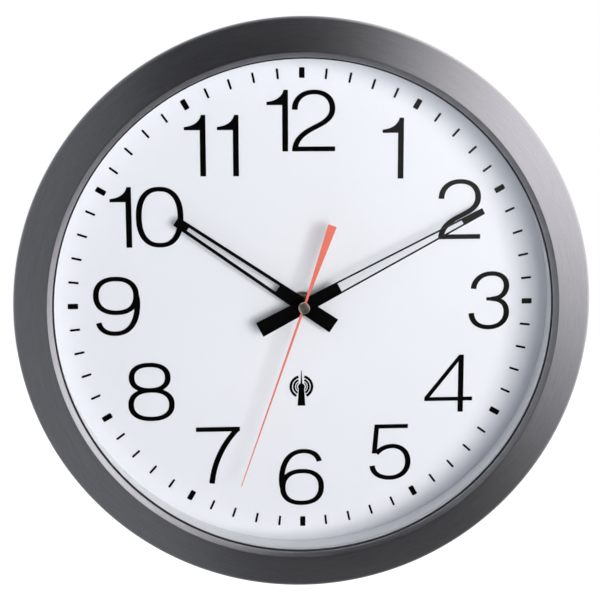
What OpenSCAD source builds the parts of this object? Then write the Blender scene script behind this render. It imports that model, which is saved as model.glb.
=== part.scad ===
// Outdoor wall clock with a spun metal bezel and a radio-controlled quartz movement.
// Each piece is drawn with the clock on its back: X to three o'clock, Y to twelve o'clock,
// Z out of the dial, the wall at Z = 0. hung() then stands the clock up: X right, Z up,
// Y into the wall, with the origin at the hanging hole.

/* [Case] */
// Overall diameter, over the bezel
clock_d = 355; // [345:1:370]
// Overall depth, from the wall to the top of the rolled lip
clock_depth = 62; // [61:0.5:70]
// Sheet thickness of the spun bezel
bezel_t = 1; // [0.8:0.1:1.2]
// Outer radius of the bezel's corner
corner_r = 3; // [2:0.5:6]
// Fall of the bezel's face towards its corner, in degrees
face_tilt = 16; // [8:1:20]
// Width of the bezel, from its opening to its side
face_w = 24.9; // [22:0.1:27]
// Depth from the front edge down to the rubber round the glass
lip_depth = 3.15; // [2.8:0.05:3.6]
// Wall thickness of the moulded back shell
shell_t = 2.5; // [2:0.1:3]
// Height of the rubber wall pads
pad_t = 2; // [1.8:0.1:3]
// Diameter of the rubber wall pads
pad_d = 14; // [10:1:20]

/* [Lens and dial] */
// Thickness of the glass
lens_t = 3; // [2:0.5:4]
// Reach of the glass under the lip
lens_grip = 3.9; // [3:0.1:4.5]
// Rubber thickness of the lens channel
channel_t = 1.2; // [1:0.1:1.5]
// Depth of the dial's face below the top of the lip
dial_depth = 37; // [36:0.5:39]
// Sheet thickness of the dial
dial_t = 1; // [0.5:0.1:1.5]
// Step from the lip's opening out to the white ring's inner wall
ring_set = 5.4; // [5:0.1:6]
// Wall thickness of the white ring between dial and lens
ring_t = 2; // [1.5:0.1:2.5]
// Height of the ring's lower band, above the dial
ring_band_h = 13.5; // [8:0.5:20]
// Inset of the minute marks' middles from the edge of the dial
mark_inset = 13; // [9:0.5:20]
// Length of a minute mark
mark_l = 6.5; // [4:0.5:9]
// Width of a minute mark
mark_w = 1.4; // [1:0.1:2]
// Width of an hour mark
hour_mark_w = 3.4; // [2:0.1:5]
// Thickness of the marks
mark_t = 0.25; // [0.1:0.05:0.5]

/* [Hands] */
// Place of the hour hand, degrees past twelve
hour_at = 304.4; // [0:0.1:360]
// Place of the minute hand, degrees past twelve
minute_at = 62.3; // [0:0.1:360]
// Place of the second hand, degrees past twelve
second_at = 199.2; // [0:0.1:360]
// Hour hand, middle to tip
hour_tip = 95.8; // [80:0.2:110]
// Hour hand, middle to the end of its tail
hour_tail = 23.6; // [15:0.2:30]
// Hour hand's width at the tail and at the tip
hour_w = [9.95, 6.1];
// Hour hand's rail beside the slot
hour_rail = 2; // [1.5:0.1:2.4]
// Minute hand, middle to tip
minute_tip = 127.8; // [110:0.2:135]
// Minute hand, middle to the end of its tail
minute_tail = 31.2; // [20:0.2:40]
// Minute hand's width at the tail and at the tip
minute_w = [9.95, 4];
// Minute hand's rail beside the slot
minute_rail = 1; // [0.8:0.1:1.5]
// Slot in the hour hand, from and to
hour_slot = [19.3, 86.9];
// Slot in the minute hand, from and to
minute_slot = [25.7, 113];
// Thickness of the hour and minute hands
hand_t = 0.8; // [0.5:0.1:1]
// Second hand, middle to tip
second_tip = 122; // [100:1:132]
// Second hand, middle to the end of its counterweight
second_tail = 54.4; // [30:0.2:60]
// Second hand's width at the counterweight's end, at the hub and at the tip
second_w = [5.6, 1.5, 0.5];
// Thickness of the second hand
second_t = 0.6; // [0.4:0.1:0.8]
// Diameter of the cap on the second hand
cap_d = 7.2; // [5:0.2:9]

/* [Movement] */
// Width of the movement's housing
move_w = 72; // [71:0.5:74]
// Height of the movement's housing
move_h = 78; // [77.5:0.5:79]
// Depth of the movement's housing
move_depth = 17; // [17:0.1:17.4]
// Wall thickness of the movement's housing
move_t = 1.5; // [1.2:0.1:1.8]
// Rubber washer between the movement and the dial
seat_t = 0.5; // [0.4:0.1:1]
// Diameter of the threaded stem
stem_d = 7.8; // [7.4:0.1:8.2]
// Length of the stem in front of the dial
stem_l = 5; // [4.5:0.1:5.5]
// Width across the flats of the nut
nut_af = 12; // [11:0.5:14]
// Thickness of the nut
nut_t = 3; // [2:0.5:3]
// Outer diameter of the washer under the nut
washer_d = 15.8; // [14:0.2:18]
// Thickness of the washer under the nut
washer_t = 1; // [0.5:0.1:1.2]
// Diameter of the second hand's arbor
arbor_d = 1; // [0.9:0.05:1]
// Outer diameter of the minute pipe
minute_pipe_d = 2.8; // [2.4:0.1:2.8]
// Outer diameter of the hour pipe
hour_pipe_d = 5; // [4.4:0.1:5.4]
// Diameter of the small arbors in the movement
pivot_d = 0.8; // [0.6:0.05:0.8]
// Radial running clearance of every arbor, pipe and pin
run = 0.05; // [0.03:0.01:0.08]
// Diameter of the battery cell
cell_d = 14.5; // [14:0.1:14.5]
// Length of the battery cell
cell_l = 50.5; // [49:0.5:50.5]
// Travel of the push buttons
button_travel = 0.7; // [0.4:0.1:0.7]

/* [Back] */
// Inset of the hanging hole from the top of the clock
hang_inset = 49.5; // [46:0.5:65]
// Diameter of the hanging hole
hang_d = 11; // [8:0.5:12]
// Width of the slot above the hanging hole
hang_slot_w = 5; // [4:0.2:6]
// Length of the slot, from the middle of the hole
hang_slot_l = 11; // [10:0.5:13]
// Thickness of the hanger plate
hang_t = 1.5; // [1:0.1:1.8]
// Thickness of the battery door
door_t = 2; // [1.8:0.1:2.4]
// Shoulder that the battery door closes on
door_shoulder = 4; // [3.5:0.1:5]
// Number of screws that hold the bezel
screw_count = 6; // [4:1:8]
// Diameter of the bezel screws
screw_d = 4; // [3:0.5:4]
// Diameter of the door's hinge pin
hinge_pin_d = 2; // [1.6:0.1:2.2]

/* [Hidden] */
$fn = 48;

// Colours
steel = [0.70, 0.71, 0.72];
white = [0.93, 0.93, 0.95];
black = [0.05, 0.05, 0.06];
brass = [0.72, 0.58, 0.36];
copper = [0.72, 0.38, 0.22];
coral = [0.95, 0.38, 0.30];
nylon = [0.85, 0.85, 0.80];
green = [0.10, 0.35, 0.22];

// Clearances
seat_gap = 0.05;
fit_gap = 0.3;
door_gap = 0.4;
press = 0.02;
round_n = 5;

// Heights, from the wall
lip_z = clock_depth;
dial_z = lip_z - dial_depth;
dial_back_z = dial_z - dial_t;
channel_top_z = lip_z - lip_depth;
lens_z = channel_top_z - channel_t - lens_t;
channel_z = lens_z - channel_t;
floor_z = pad_t;
floor_in_z = floor_z + shell_t;
flange_z = floor_z + 2.4;
bezel_edge_z = flange_z + 0.2;
rim_z = dial_back_z - 2;

// Radii
clock_r = clock_d / 2;
opening_r = clock_r - face_w;
lens_r = opening_r + lens_grip;
channel_r = lens_r + channel_t;
dial_view_r = opening_r + ring_set;
mark_ring_r = dial_view_r - mark_inset;
ring_r = dial_view_r + ring_t + 0.5;
dial_r = ring_r - 0.5;
shell_r = clock_r - bezel_t - fit_gap;
tab_t = 1.5;
tab_reach = clock_r - bezel_t - seat_gap;
screw_boss_r = 6;
screw_ring_r = shell_r - shell_t - screw_boss_r + 0.3;
screw_boss_z = dial_back_z + 2;
tab_z = screw_boss_z + 0.2;

// Movement, seen from the front, with the hands' axis at its origin
move_mid_y = -8;
move_rear_h = 7;
move_front_z = dial_back_z - seat_t;
move_rear_z = move_front_z - move_depth;
move_in_front_z = move_front_z - move_t;
move_in_rear_z = move_rear_z + move_t;
move_split_z = move_in_rear_z + move_rear_h;
stem_r = stem_d / 2;
stem_z = dial_z + stem_l;

// Layers of the wheel train, measured from the inner face of the rear housing
seconds_wheel_h = 1;
third_h = 2.6;
minute_wheel_h = 4;
magnet_h = 4.6;
stator_h = 5.6;
minute_pinion_h = 6.4;
motion_h = 6.6;
third_end_h = 6.8;
hour_wheel_h = 9;
rotor_end_h = 9.2;
seconds_wheel_z = move_in_rear_z + seconds_wheel_h;
third_z = move_in_rear_z + third_h;
minute_wheel_z = move_in_rear_z + minute_wheel_h;
magnet_z = move_in_rear_z + magnet_h;
stator_z = move_in_rear_z + stator_h;
minute_pinion_z = move_in_rear_z + minute_pinion_h;
motion_z = move_in_rear_z + motion_h;
third_end_z = move_in_rear_z + third_end_h;
hour_wheel_z = move_in_rear_z + hour_wheel_h;
rotor_end_z = move_in_rear_z + rotor_end_h;
wheel_t = 1;
third_t = 0.8;
pivot_in = 0.6;
pivot_z = move_in_rear_z - pivot_in;
boss_r = 1.2;
boss_h = 0.7;
front_boss_r = 0.9;

// Teeth and modules of the wheel train
pinion_n = 8;
seconds_n = 60;
seconds_third_n = 32;
minute_n = 60;
minutes_third_n = 64;
minute_pinion_n = 12;
motion_n = 36;
motion_pinion_n = 10;
hour_n = 40;
centre_m = 0.25;
minutes_rotor_m = 0.2;
motion_m = 0.3125;
hour_m = motion_m * (minute_pinion_n + motion_n) / (motion_pinion_n + hour_n);

// Places of the wheels
function polar(r, a) = [r * cos(a), r * sin(a)];
function distance(m, a, b) = m * (a + b) / 2;
seconds_third_dir = 205;
minutes_third_dir = 335;
seconds_rotor_dir = 190;
minutes_rotor_dir = 350;
motion_dir = 90;
seconds_third_at = polar(distance(centre_m, seconds_n, pinion_n), seconds_third_dir);
minutes_third_at = polar(distance(centre_m, minute_n, pinion_n), minutes_third_dir);
seconds_rotor_at = seconds_third_at
    + polar(distance(centre_m, seconds_third_n, pinion_n), seconds_rotor_dir);
minutes_rotor_at = minutes_third_at
    + polar(distance(minutes_rotor_m, minutes_third_n, pinion_n), minutes_rotor_dir);
motion_at = polar(distance(motion_m, minute_pinion_n, motion_n), motion_dir);

// Turn of a wheel that meshes with another: turn and teeth of the first, teeth of the
// second, and the direction from the first to the second
function meshed(turn, n1, n2, dir) = dir + 180 - 180 / n2 - (turn - dir) * n1 / n2;
seconds_third_turn = meshed(0, seconds_n, pinion_n, seconds_third_dir);
seconds_rotor_turn = meshed(seconds_third_turn, seconds_third_n, pinion_n, seconds_rotor_dir);
minutes_third_turn = meshed(0, minute_n, pinion_n, minutes_third_dir);
minutes_rotor_turn = meshed(minutes_third_turn, minutes_third_n, pinion_n, minutes_rotor_dir);
motion_turn = meshed(0, minute_pinion_n, motion_n, motion_dir);
hour_turn = meshed(motion_turn, motion_pinion_n, hour_n, motion_dir + 180);

// Cuts that go right through a deep part and through a thin one
cut_through = 40;
cut_thin = 10;

// Hands, measured from the dial's face
hour_hand_z = dial_z + 7.2;
minute_hand_z = dial_z + 11.2;
second_hand_z = dial_z + 15.2;
cap_z = dial_z + 16;
cap_top_z = dial_z + 19;

// Motors
magnet_r = 2.6;
magnet_t = 3;
stator_hole_r = 2.95;
stator_ring_r = 3.8;
stator_t = 1;
stator_bar_w = 4;
stator_top = 15.5;
stator_bottom = -16.5;
coil_r = 3.6;
coil_flange_r = 4.2;
coil_flange_t = 0.8;
coil_gap = 1.1;
coil_end_gap = 1.5;
coil_l = stator_top - stator_bottom - 2 * stator_bar_w - 2 * coil_end_gap;
coil_y = (stator_top + stator_bottom) / 2;
bar_x = move_w / 2 - move_t - coil_flange_r - coil_gap;

// Cell and its trough
cell_r = cell_d / 2;
cell_y = move_mid_y - move_h / 2 + move_t + 0.65 + cell_r;
cell_z = move_rear_z + 0.5 + cell_r;
trough_top_y = cell_y + cell_r + 0.4;
trough_low_y = move_mid_y - move_h / 2 + move_t + 0.1;
trough_x = cell_l / 2 + 2;
trough_wall_w = move_w - 2 * move_t - 0.2;
contact_t = 0.4;
contact_top_z = cell_z + 6;

// Board, buttons and antenna
board_t = 1;
board_z = move_in_front_z - 3.2;
board_h = 10;
board_l = move_w - 2 * move_t - 2;
board_post_x = move_w / 2 - move_t - 6.5;
board_post_y = 3.2;
board_y = trough_top_y + move_t + 0.3 + board_h / 2;
switch_w = 6;
switch_t = 3.5;
switch_z = board_z - switch_t;
dome_t = 0.5;
dome_r = 1.7;
chip_w = 6;
chip_h = 5;
chip_t = 1.4;
chip_x = [11.5 - board_l / 2, board_l / 2 - 26.5];
crystal_r = 1;
crystal_l = 6.2;
button_x = 14;
button_y = board_y + 0.4;
button_r = 2.4;
button_stem_r = 1.5;
button_flange_r = 3.2;
button_end_z = switch_z - dome_t - button_travel - 0.1;
button_out = 1.2;
rod_r = 4;
rod_l = 54;
rod_y = move_mid_y + move_h / 2 - move_t - 5.5;
rod_z = move_in_rear_z + 7;
saddle_w = 3;
winding_r = 4.9;
winding_l = 28;

// Bay for the movement and its door
bay_w = move_w + 6;
bay_h = move_h + 6;
bay_t = 2;
bay_z = dial_back_z - 2;
door_w = bay_w + 2 * door_shoulder;
door_h = bay_h + 2 * door_shoulder;
door_z = floor_z;
rebate_z = door_z + door_t + 0.2;
frame_edge = 3;
frame_z = rebate_z + 2.8;
gasket_w = 2;
gasket_t = 1.2;
knuckle_r = hinge_pin_d / 2 + 1;
hinge_x = -door_w / 2 - 3.4;
hinge_z = floor_z + knuckle_r - 1.6;
door_knuckle_l = 40;
shell_knuckle_l = 10;
knuckle_gap = 0.4;
hinge_recess_r = knuckle_r + door_gap;
pin_l = door_knuckle_l + 2 * shell_knuckle_l;

// Hanger
hang_h = clock_r - hang_inset;
hang_w = 60;
hang_plate_h = 34;
hang_screw_x = 22;
hang_screw_r = 1.6;
hang_head_r = 3;
hang_head_t = 1.4;
hang_z = floor_z - hang_t;
pocket_w = 28;
pocket_h = 32;
pocket_z = floor_z + 12;
pocket_t = 2;
hang_mid_y = hang_h + 3;

// Stands the clock up on its wall
module hung() {
    translate([0, hang_z, -hang_h]) rotate([90, 0, 0]) children();
}

// Points along an arc, both ends included
function arc(x, y, r, from, to, n) =
    [for (i = [0:n]) let (a = from + (to - from) * i / n) [x + r * cos(a), y + r * sin(a)]];
// Outline of a rectangle with round corners
function round_rect(w, h, r, n = round_n) = concat(
    arc(w / 2 - r, h / 2 - r, r, 0, 90, n),
    arc(r - w / 2, h / 2 - r, r, 90, 180, n),
    arc(r - w / 2, r - h / 2, r, 180, 270, n),
    arc(w / 2 - r, r - h / 2, r, 270, 360, n)
);
// Plain tube
module tube(r_out, r_in, h, fn = $fn) {
    difference() {
        cylinder(r = r_out, h = h, $fn = fn);
        translate([0, 0, -1]) cylinder(r = r_in, h = h + 2, $fn = fn);
    }
}
// Flat plate with round corners
module plate(w, h, t, r) {
    linear_extrude(t) polygon(round_rect(w, h, r));
}
// Copies its children round the axis
module around(count, first = 0) {
    for (i = [0:count - 1]) rotate(first + i * 360 / count) children();
}

// Spun bezel: folded lip, slope down to the glass, crest, sloping face, round corner and straight side
lip_curl = 225;
lip_fold_r = 1;
lip_slope = 21;
crest_r = 0.8;
lip_fold_x = opening_r + lip_fold_r;
lip_fold_z = channel_top_z + 0.1 + lip_fold_r * sin(lip_curl - 180);
crest_z = lip_z - crest_r;
crest_x = lip_fold_x
    + (crest_z - lip_fold_z + (crest_r - lip_fold_r) / cos(lip_slope)) / tan(lip_slope);
face_r = crest_x + crest_r * sin(face_tilt);
face_z = crest_z + crest_r * cos(face_tilt);
corner_x = clock_r - corner_r;
corner_z = face_z - tan(face_tilt) * (corner_x + corner_r * sin(face_tilt) - face_r)
    - corner_r * cos(face_tilt);
bezel_outer = concat(
    arc(lip_fold_x, lip_fold_z, lip_fold_r, lip_curl, 90 + lip_slope, 8),
    arc(crest_x, crest_z, crest_r, 90 + lip_slope, 90 - face_tilt, 4),
    arc(corner_x, corner_z, corner_r, 90 - face_tilt, 0, 6),
    [[clock_r, bezel_edge_z]]
);
bezel_inner = concat(
    [[clock_r - bezel_t, bezel_edge_z]],
    arc(corner_x, corner_z, corner_r - bezel_t, 0, 90 - face_tilt, 6),
    [[crest_x + bezel_t / 2, crest_z + crest_r - bezel_t - 0.2],
     [lip_fold_x + lip_fold_r * 0.4, lip_fold_z - lip_fold_r * 0.6]]
);
module bezel() {
    color(steel) rotate_extrude($fn = 180) polygon(concat(bezel_outer, bezel_inner));
}

// Angle brackets inside the bezel's side, each with a riveted nut for a screw from behind
tab_w = 14;
tab_rise = 13;
nut_insert_r = 3.6;
nut_insert_h = 3;
tab_inner_r = screw_ring_r - 5.5;
module bezel_tab() {
    difference() {
        union() {
            intersection() {
                translate([0, 0, tab_z]) tube(tab_reach, tab_reach - tab_t, tab_rise, 180);
                translate([tab_reach - 10, -tab_w / 2, tab_z]) cube([20, tab_w, tab_rise]);
            }
            intersection() {
                translate([0, 0, tab_z]) tube(tab_reach, tab_inner_r, tab_t, 180);
                translate([tab_inner_r - 5, -tab_w / 2, tab_z]) cube([30, tab_w, tab_t]);
            }
            translate([screw_ring_r, 0, tab_z + tab_t]) cylinder(r = nut_insert_r, h = nut_insert_h);
        }
        translate([screw_ring_r, 0, tab_z - 1]) cylinder(d = screw_d + 2 * seat_gap, h = cut_thin);
    }
}
module bezel_tabs() {
    color(steel) around(screw_count) bezel_tab();
}

// Rubber channel round the edge of the glass, its back lip shorter than the front one
channel_show = 0.5;
channel_step = 1.6;
module lens_channel() {
    inner = opening_r - channel_show;
    color(black) rotate_extrude($fn = 180) difference() {
        translate([inner, channel_z]) square([channel_r - inner, channel_top_z - channel_z]);
        translate([inner - 1, lens_z]) square([lens_r + seat_gap - inner + 1, lens_t]);
        translate([inner - 1, channel_z - 1]) square([channel_step + 1, lens_z - channel_z + 2]);
    }
}

// Flat glass with its edges ground
lens_chamfer = 0.4;
module lens() {
    edge = lens_r - lens_chamfer;
    color("lightblue", 0.35) translate([0, 0, lens_z]) rotate_extrude($fn = 180) polygon([
        [0, 0], [edge, 0], [lens_r, lens_chamfer],
        [lens_r, lens_t - lens_chamfer], [edge, lens_t], [0, lens_t]
    ]);
}

// White moulded ring that holds the dial down and presses the channel against the lip
ring_step = 0.6;
ring_flange_t = 1.6;
ring_rib_count = 12;
ring_rib_w = 1.6;
ring_rib_reach = 2.4;
ring_rib_start = 15;
ring_rib_top_z = channel_z - 6;
module reflector_ring() {
    band_z = dial_z + ring_band_h;
    flange_r = lens_r - 1;
    color(white) {
        rotate_extrude($fn = 180) polygon([
            [dial_view_r, dial_z], [ring_r, dial_z], [ring_r, channel_z], [flange_r, channel_z],
            [flange_r, channel_z - ring_flange_t],
            [dial_view_r + ring_step, channel_z - 2 * ring_flange_t],
            [dial_view_r + ring_step, band_z + ring_step], [dial_view_r, band_z]
        ]);
        around(ring_rib_count, ring_rib_start)
            translate([ring_r - 0.5, -ring_rib_w / 2, dial_z])
                cube([ring_rib_reach + 0.5, ring_rib_w, ring_rib_top_z - dial_z]);
    }
}

// Sheet dial
module dial() {
    color(white) translate([0, 0, dial_back_z]) tube(dial_r, stem_r + 0.2, dial_t, 180);
}

// Minute and hour marks, printed proud
module dial_marks() {
    color(black) translate([0, 0, dial_z])
        for (i = [0:59]) {
            w = i % 5 == 0 ? hour_mark_w : mark_w;
            rotate(-6 * i) translate([0, mark_ring_r, 0])
                linear_extrude(mark_t) polygon(round_rect(w, mark_l, 0.4, 2));
        }
}

// Moulded pan behind the dial, with its ribs, bosses, movement bay and hanger pocket
seat_wall_t = 3.5;
seat_wall_r = dial_r - 0.5;
rib_count = 12;
rib_start = 15;
rib_t = 2;
rib_h = 6;
head_sink = 3;
head_well_r = screw_d / 2 + 2.6;
groove_z = floor_z + 10;
groove_h = 3;
groove_depth = 1.2;
ring_bead_inset = 55.5;
ring_bead_r = seat_wall_r - ring_bead_inset;
drain_r = 2;
drain_angle = 12;
drain_ring_r = (seat_wall_r + shell_r - shell_t) / 2;
hang_boss_r = 4;
hang_boss_h = 9;
edge_r = 2;
module pan() {
    rotate_extrude($fn = 180) polygon(concat(
        [[0, floor_z]],
        arc(clock_r - edge_r, floor_z + edge_r, edge_r, -90, 0, 5),
        [[clock_r, flange_z], [shell_r, flange_z],
         [shell_r, groove_z], [shell_r - groove_depth, groove_z],
         [shell_r - groove_depth, groove_z + groove_h], [shell_r, groove_z + groove_h],
         [shell_r, rim_z], [shell_r - shell_t, rim_z],
         [shell_r - shell_t, floor_in_z], [0, floor_in_z]]
    ));
}
module shell_ribs() {
    translate([0, 0, floor_in_z - 0.5]) {
        around(rib_count, rib_start)
            translate([20, -rib_t / 2, 0]) cube([seat_wall_r - 21, rib_t, rib_h + 0.5]);
        tube(seat_wall_r, seat_wall_r - seat_wall_t, dial_back_z - floor_in_z + 0.5, 180);
        tube(ring_bead_r, ring_bead_r - rib_t, rib_h + 0.5, 120);
        around(screw_count)
            translate([seat_wall_r - 1, -rib_t / 2, 0])
                cube([screw_ring_r - seat_wall_r, rib_t, rim_z - floor_in_z]);
    }
}
module bay_block() {
    translate([0, move_mid_y, floor_z]) {
        plate(bay_w + 2 * bay_t, bay_h + 2 * bay_t, bay_z - floor_z, 4);
        plate(door_w + 2 * door_gap + 2 * frame_edge, door_h + 2 * door_gap + 2 * frame_edge,
            frame_z - floor_z, 6);
    }
    translate([hinge_x - hinge_recess_r - frame_edge, move_mid_y - pin_l / 2 - frame_edge, floor_z])
        cube([20, pin_l + 2 * frame_edge, frame_z - floor_z]);
}
module bay_cut() {
    translate([0, move_mid_y, 0]) {
        plate(bay_w, bay_h, cut_through, 3);
        plate(door_w + 2 * door_gap, door_h + 2 * door_gap, rebate_z, 3);
        translate([hinge_x - hinge_recess_r, -pin_l / 2 - door_gap, -1])
            cube([8, pin_l + 2 * door_gap, hinge_z + hinge_recess_r + 1]);
    }
}
module shell_knuckles() {
    out = (door_knuckle_l + shell_knuckle_l + knuckle_gap) / 2;
    for (side = [-1, 1])
        translate([hinge_x, move_mid_y + side * out, hinge_z])
            difference() {
                union() {
                    rotate([90, 0, 0])
                        cylinder(r = knuckle_r, h = shell_knuckle_l - knuckle_gap, center = true);
                    translate([-knuckle_r, -(shell_knuckle_l - knuckle_gap) / 2, 0])
                        cube([2 * knuckle_r, shell_knuckle_l - knuckle_gap, knuckle_r + 1]);
                }
                rotate([90, 0, 0])
                    cylinder(d = hinge_pin_d + 2 * press, h = shell_knuckle_l + 2, center = true);
            }
}
module hanger_block() {
    translate([0, hang_mid_y, floor_z])
        plate(pocket_w + 2 * pocket_t, pocket_h + 2 * pocket_t, pocket_z + pocket_t - floor_z, 4);
    for (side = [-1, 1])
        translate([side * hang_screw_x, hang_mid_y, floor_z])
            cylinder(r = hang_boss_r, h = hang_boss_h);
}
module hanger_cut() {
    translate([0, hang_mid_y, floor_z - 1]) plate(pocket_w, pocket_h, pocket_z - floor_z + 1, 3);
    for (side = [-1, 1])
        translate([side * hang_screw_x, hang_mid_y, floor_z - 1])
            cylinder(r = hang_screw_r + seat_gap, h = hang_boss_h - 1);
}
module back_shell() {
    color(black) {
        difference() {
            union() {
                pan();
                shell_ribs();
                bay_block();
                hanger_block();
                around(screw_count)
                    translate([screw_ring_r, 0, floor_z + 0.5])
                        cylinder(r = screw_boss_r, h = screw_boss_z - floor_z - 0.5);
            }
            bay_cut();
            hanger_cut();
            around(screw_count) translate([screw_ring_r, 0, 0]) {
                cylinder(r = head_well_r, h = floor_z + head_sink);
                cylinder(r = screw_d / 2 + 0.2, h = screw_boss_z + 1);
            }
            for (side = [-1, 0, 1])
                rotate(270 + side * drain_angle) translate([drain_ring_r, 0, 0])
                    cylinder(r = drain_r, h = floor_in_z + 1, $fn = 24);
        }
        shell_knuckles();
    }
}

// Rubber ring in the shell's groove, against the bezel's side
module shell_gasket() {
    color(black) translate([0, 0, groove_z + seat_gap])
        tube(clock_r - bezel_t - seat_gap, shell_r - groove_depth + seat_gap,
            groove_h - 2 * seat_gap, 180);
}

// Screw with a round head and a cross in it, its head's seat at Z = 0
module pan_screw(d, l, head_r, head_t) {
    difference() {
        union() {
            translate([0, 0, -head_t]) rotate_extrude() polygon([
                [0, 0], [head_r * 0.6, 0], [head_r * 0.9, head_t * 0.3], [head_r, head_t * 0.7],
                [head_r, head_t], [0, head_t]
            ]);
            translate([0, 0, -0.01]) cylinder(d = d, h = l);
        }
        for (a = [0, 90]) rotate(a)
            translate([-head_r * 0.55, -0.4, -head_t - 1]) cube([head_r * 1.1, 0.8, 2]);
    }
}
case_screw_l = 26;
module case_screws() {
    color(steel) around(screw_count)
        translate([screw_ring_r, 0, floor_z + head_sink - seat_gap])
            pan_screw(screw_d, case_screw_l, screw_d * 0.95, head_sink - 0.6);
}

// Rubber pads that stand against the wall
pad_ring_r = seat_wall_r - 11.5;
module wall_pads() {
    color([0.15, 0.15, 0.15]) around(4, 45) translate([pad_ring_r, 0, 0]) rotate_extrude() polygon([
        [0, 0], [pad_d / 2 - 1, 0], [pad_d / 2, 0.8], [pad_d / 2, pad_t], [0, pad_t]
    ]);
}

// Steel plate with the keyhole that the clock hangs by
module hanger_plate() {
    color(steel) difference() {
        translate([0, hang_mid_y, hang_z]) plate(hang_w, hang_plate_h, hang_t, 4);
        translate([0, hang_h, -1]) cylinder(d = hang_d, h = cut_thin);
        translate([-hang_slot_w / 2, hang_h, -1])
            cube([hang_slot_w, hang_slot_l - hang_slot_w / 2, cut_thin]);
        translate([0, hang_h + hang_slot_l - hang_slot_w / 2, -1])
            cylinder(d = hang_slot_w, h = cut_thin);
        for (side = [-1, 1]) translate([side * hang_screw_x, hang_mid_y, hang_z]) {
            translate([0, 0, -1]) cylinder(r = hang_screw_r + 0.1, h = cut_thin);
            translate([0, 0, -0.2])
                cylinder(r1 = hang_head_r + 0.3, r2 = hang_screw_r + 0.1, h = hang_head_t);
        }
    }
}
module hanger_screws() {
    color(steel) for (side = [-1, 1])
        translate([side * hang_screw_x, hang_mid_y, hang_z + 0.05]) difference() {
            union() {
                cylinder(r1 = hang_head_r, r2 = hang_screw_r, h = hang_head_t - 0.2);
                cylinder(r = hang_screw_r, h = hang_boss_h - 1);
            }
            for (a = [0, 90]) rotate(a) translate([-1.6, -0.3, -1]) cube([3.2, 0.6, 1.6]);
        }
}

// Battery door: plate, skirt, ribs, finger grip and its half of the hinge
skirt_gap = 0.4;
skirt_t = 1.5;
skirt_h = 3;
door_rib_h = 0.8;
door_rib_w = 1.2;
door_rib_step = 13;
grip_step = 1.6;
grip_bar_w = 0.8;
grip_w = 22;
catch_w = 14;
catch_r = 0.7;
catch_out = 0.2;
module seal(w, t) {
    difference() {
        plate(bay_w + door_shoulder + w, bay_h + door_shoulder + w, t, 3);
        translate([0, 0, -1]) plate(bay_w + door_shoulder - w, bay_h + door_shoulder - w, t + 2, 2);
    }
}
module battery_door() {
    color([0.09, 0.09, 0.10]) translate([0, move_mid_y, door_z]) {
        difference() {
            union() {
                plate(door_w, door_h, door_t, 3);
                difference() {
                    plate(bay_w - 2 * skirt_gap, bay_h - 2 * skirt_gap, door_t + skirt_h, 2.6);
                    translate([0, 0, -1])
                        plate(bay_w - 2 * skirt_gap - 2 * skirt_t,
                            bay_h - 2 * skirt_gap - 2 * skirt_t, door_t + skirt_h + 2, 1.5);
                }
                translate([bay_w / 2 - skirt_gap - catch_r + catch_out, 0, door_t + skirt_h / 2])
                    rotate([90, 0, 0]) cylinder(r = catch_r, h = catch_w, center = true);
                for (i = [-2:2]) {
                    translate([i * door_rib_step - door_rib_w / 2, 2 - bay_h / 2, door_t - 0.5])
                        cube([door_rib_w, bay_h - 4, door_rib_h + 0.5]);
                    translate([2 - bay_w / 2, i * door_rib_step - door_rib_w / 2, door_t - 0.5])
                        cube([bay_w - 4, door_rib_w, door_rib_h + 0.5]);
                }
                translate([door_w / 2 - 7, -grip_w / 2, 0]) for (i = [0:3])
                    translate([i * grip_step, 0, -0.4]) cube([grip_bar_w, grip_w, 1]);
            }
            translate([0, 0, door_t - gasket_t + 0.2]) seal(gasket_w, 2);
            for (side = [-1, 1])
                translate([bay_w / 2 - skirt_gap - 2 * skirt_t, side * (catch_w / 2 + 1.5) - 0.5, door_t])
                    cube([3 * skirt_t, 1, skirt_h + 1]);
        }
        translate([hinge_x, 0, hinge_z - door_z]) difference() {
            union() {
                rotate([90, 0, 0])
                    cylinder(r = knuckle_r, h = door_knuckle_l - knuckle_gap, center = true);
                translate([0, (knuckle_gap - door_knuckle_l) / 2, door_z - hinge_z])
                    cube([-hinge_x - door_w / 2 + 1, door_knuckle_l - knuckle_gap, door_t - gasket_t + 0.2]);
            }
            rotate([90, 0, 0])
                cylinder(d = hinge_pin_d + 2 * run, h = door_knuckle_l + 2, center = true);
        }
    }
}
module door_gasket() {
    color(black) translate([0, move_mid_y, rebate_z - gasket_t + seat_gap])
        seal(gasket_w - 0.2, gasket_t - 2 * seat_gap);
}
module hinge_pin() {
    color(steel) translate([hinge_x, move_mid_y, hinge_z])
        rotate([90, 0, 0]) cylinder(d = hinge_pin_d, h = pin_l, center = true);
}

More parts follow.
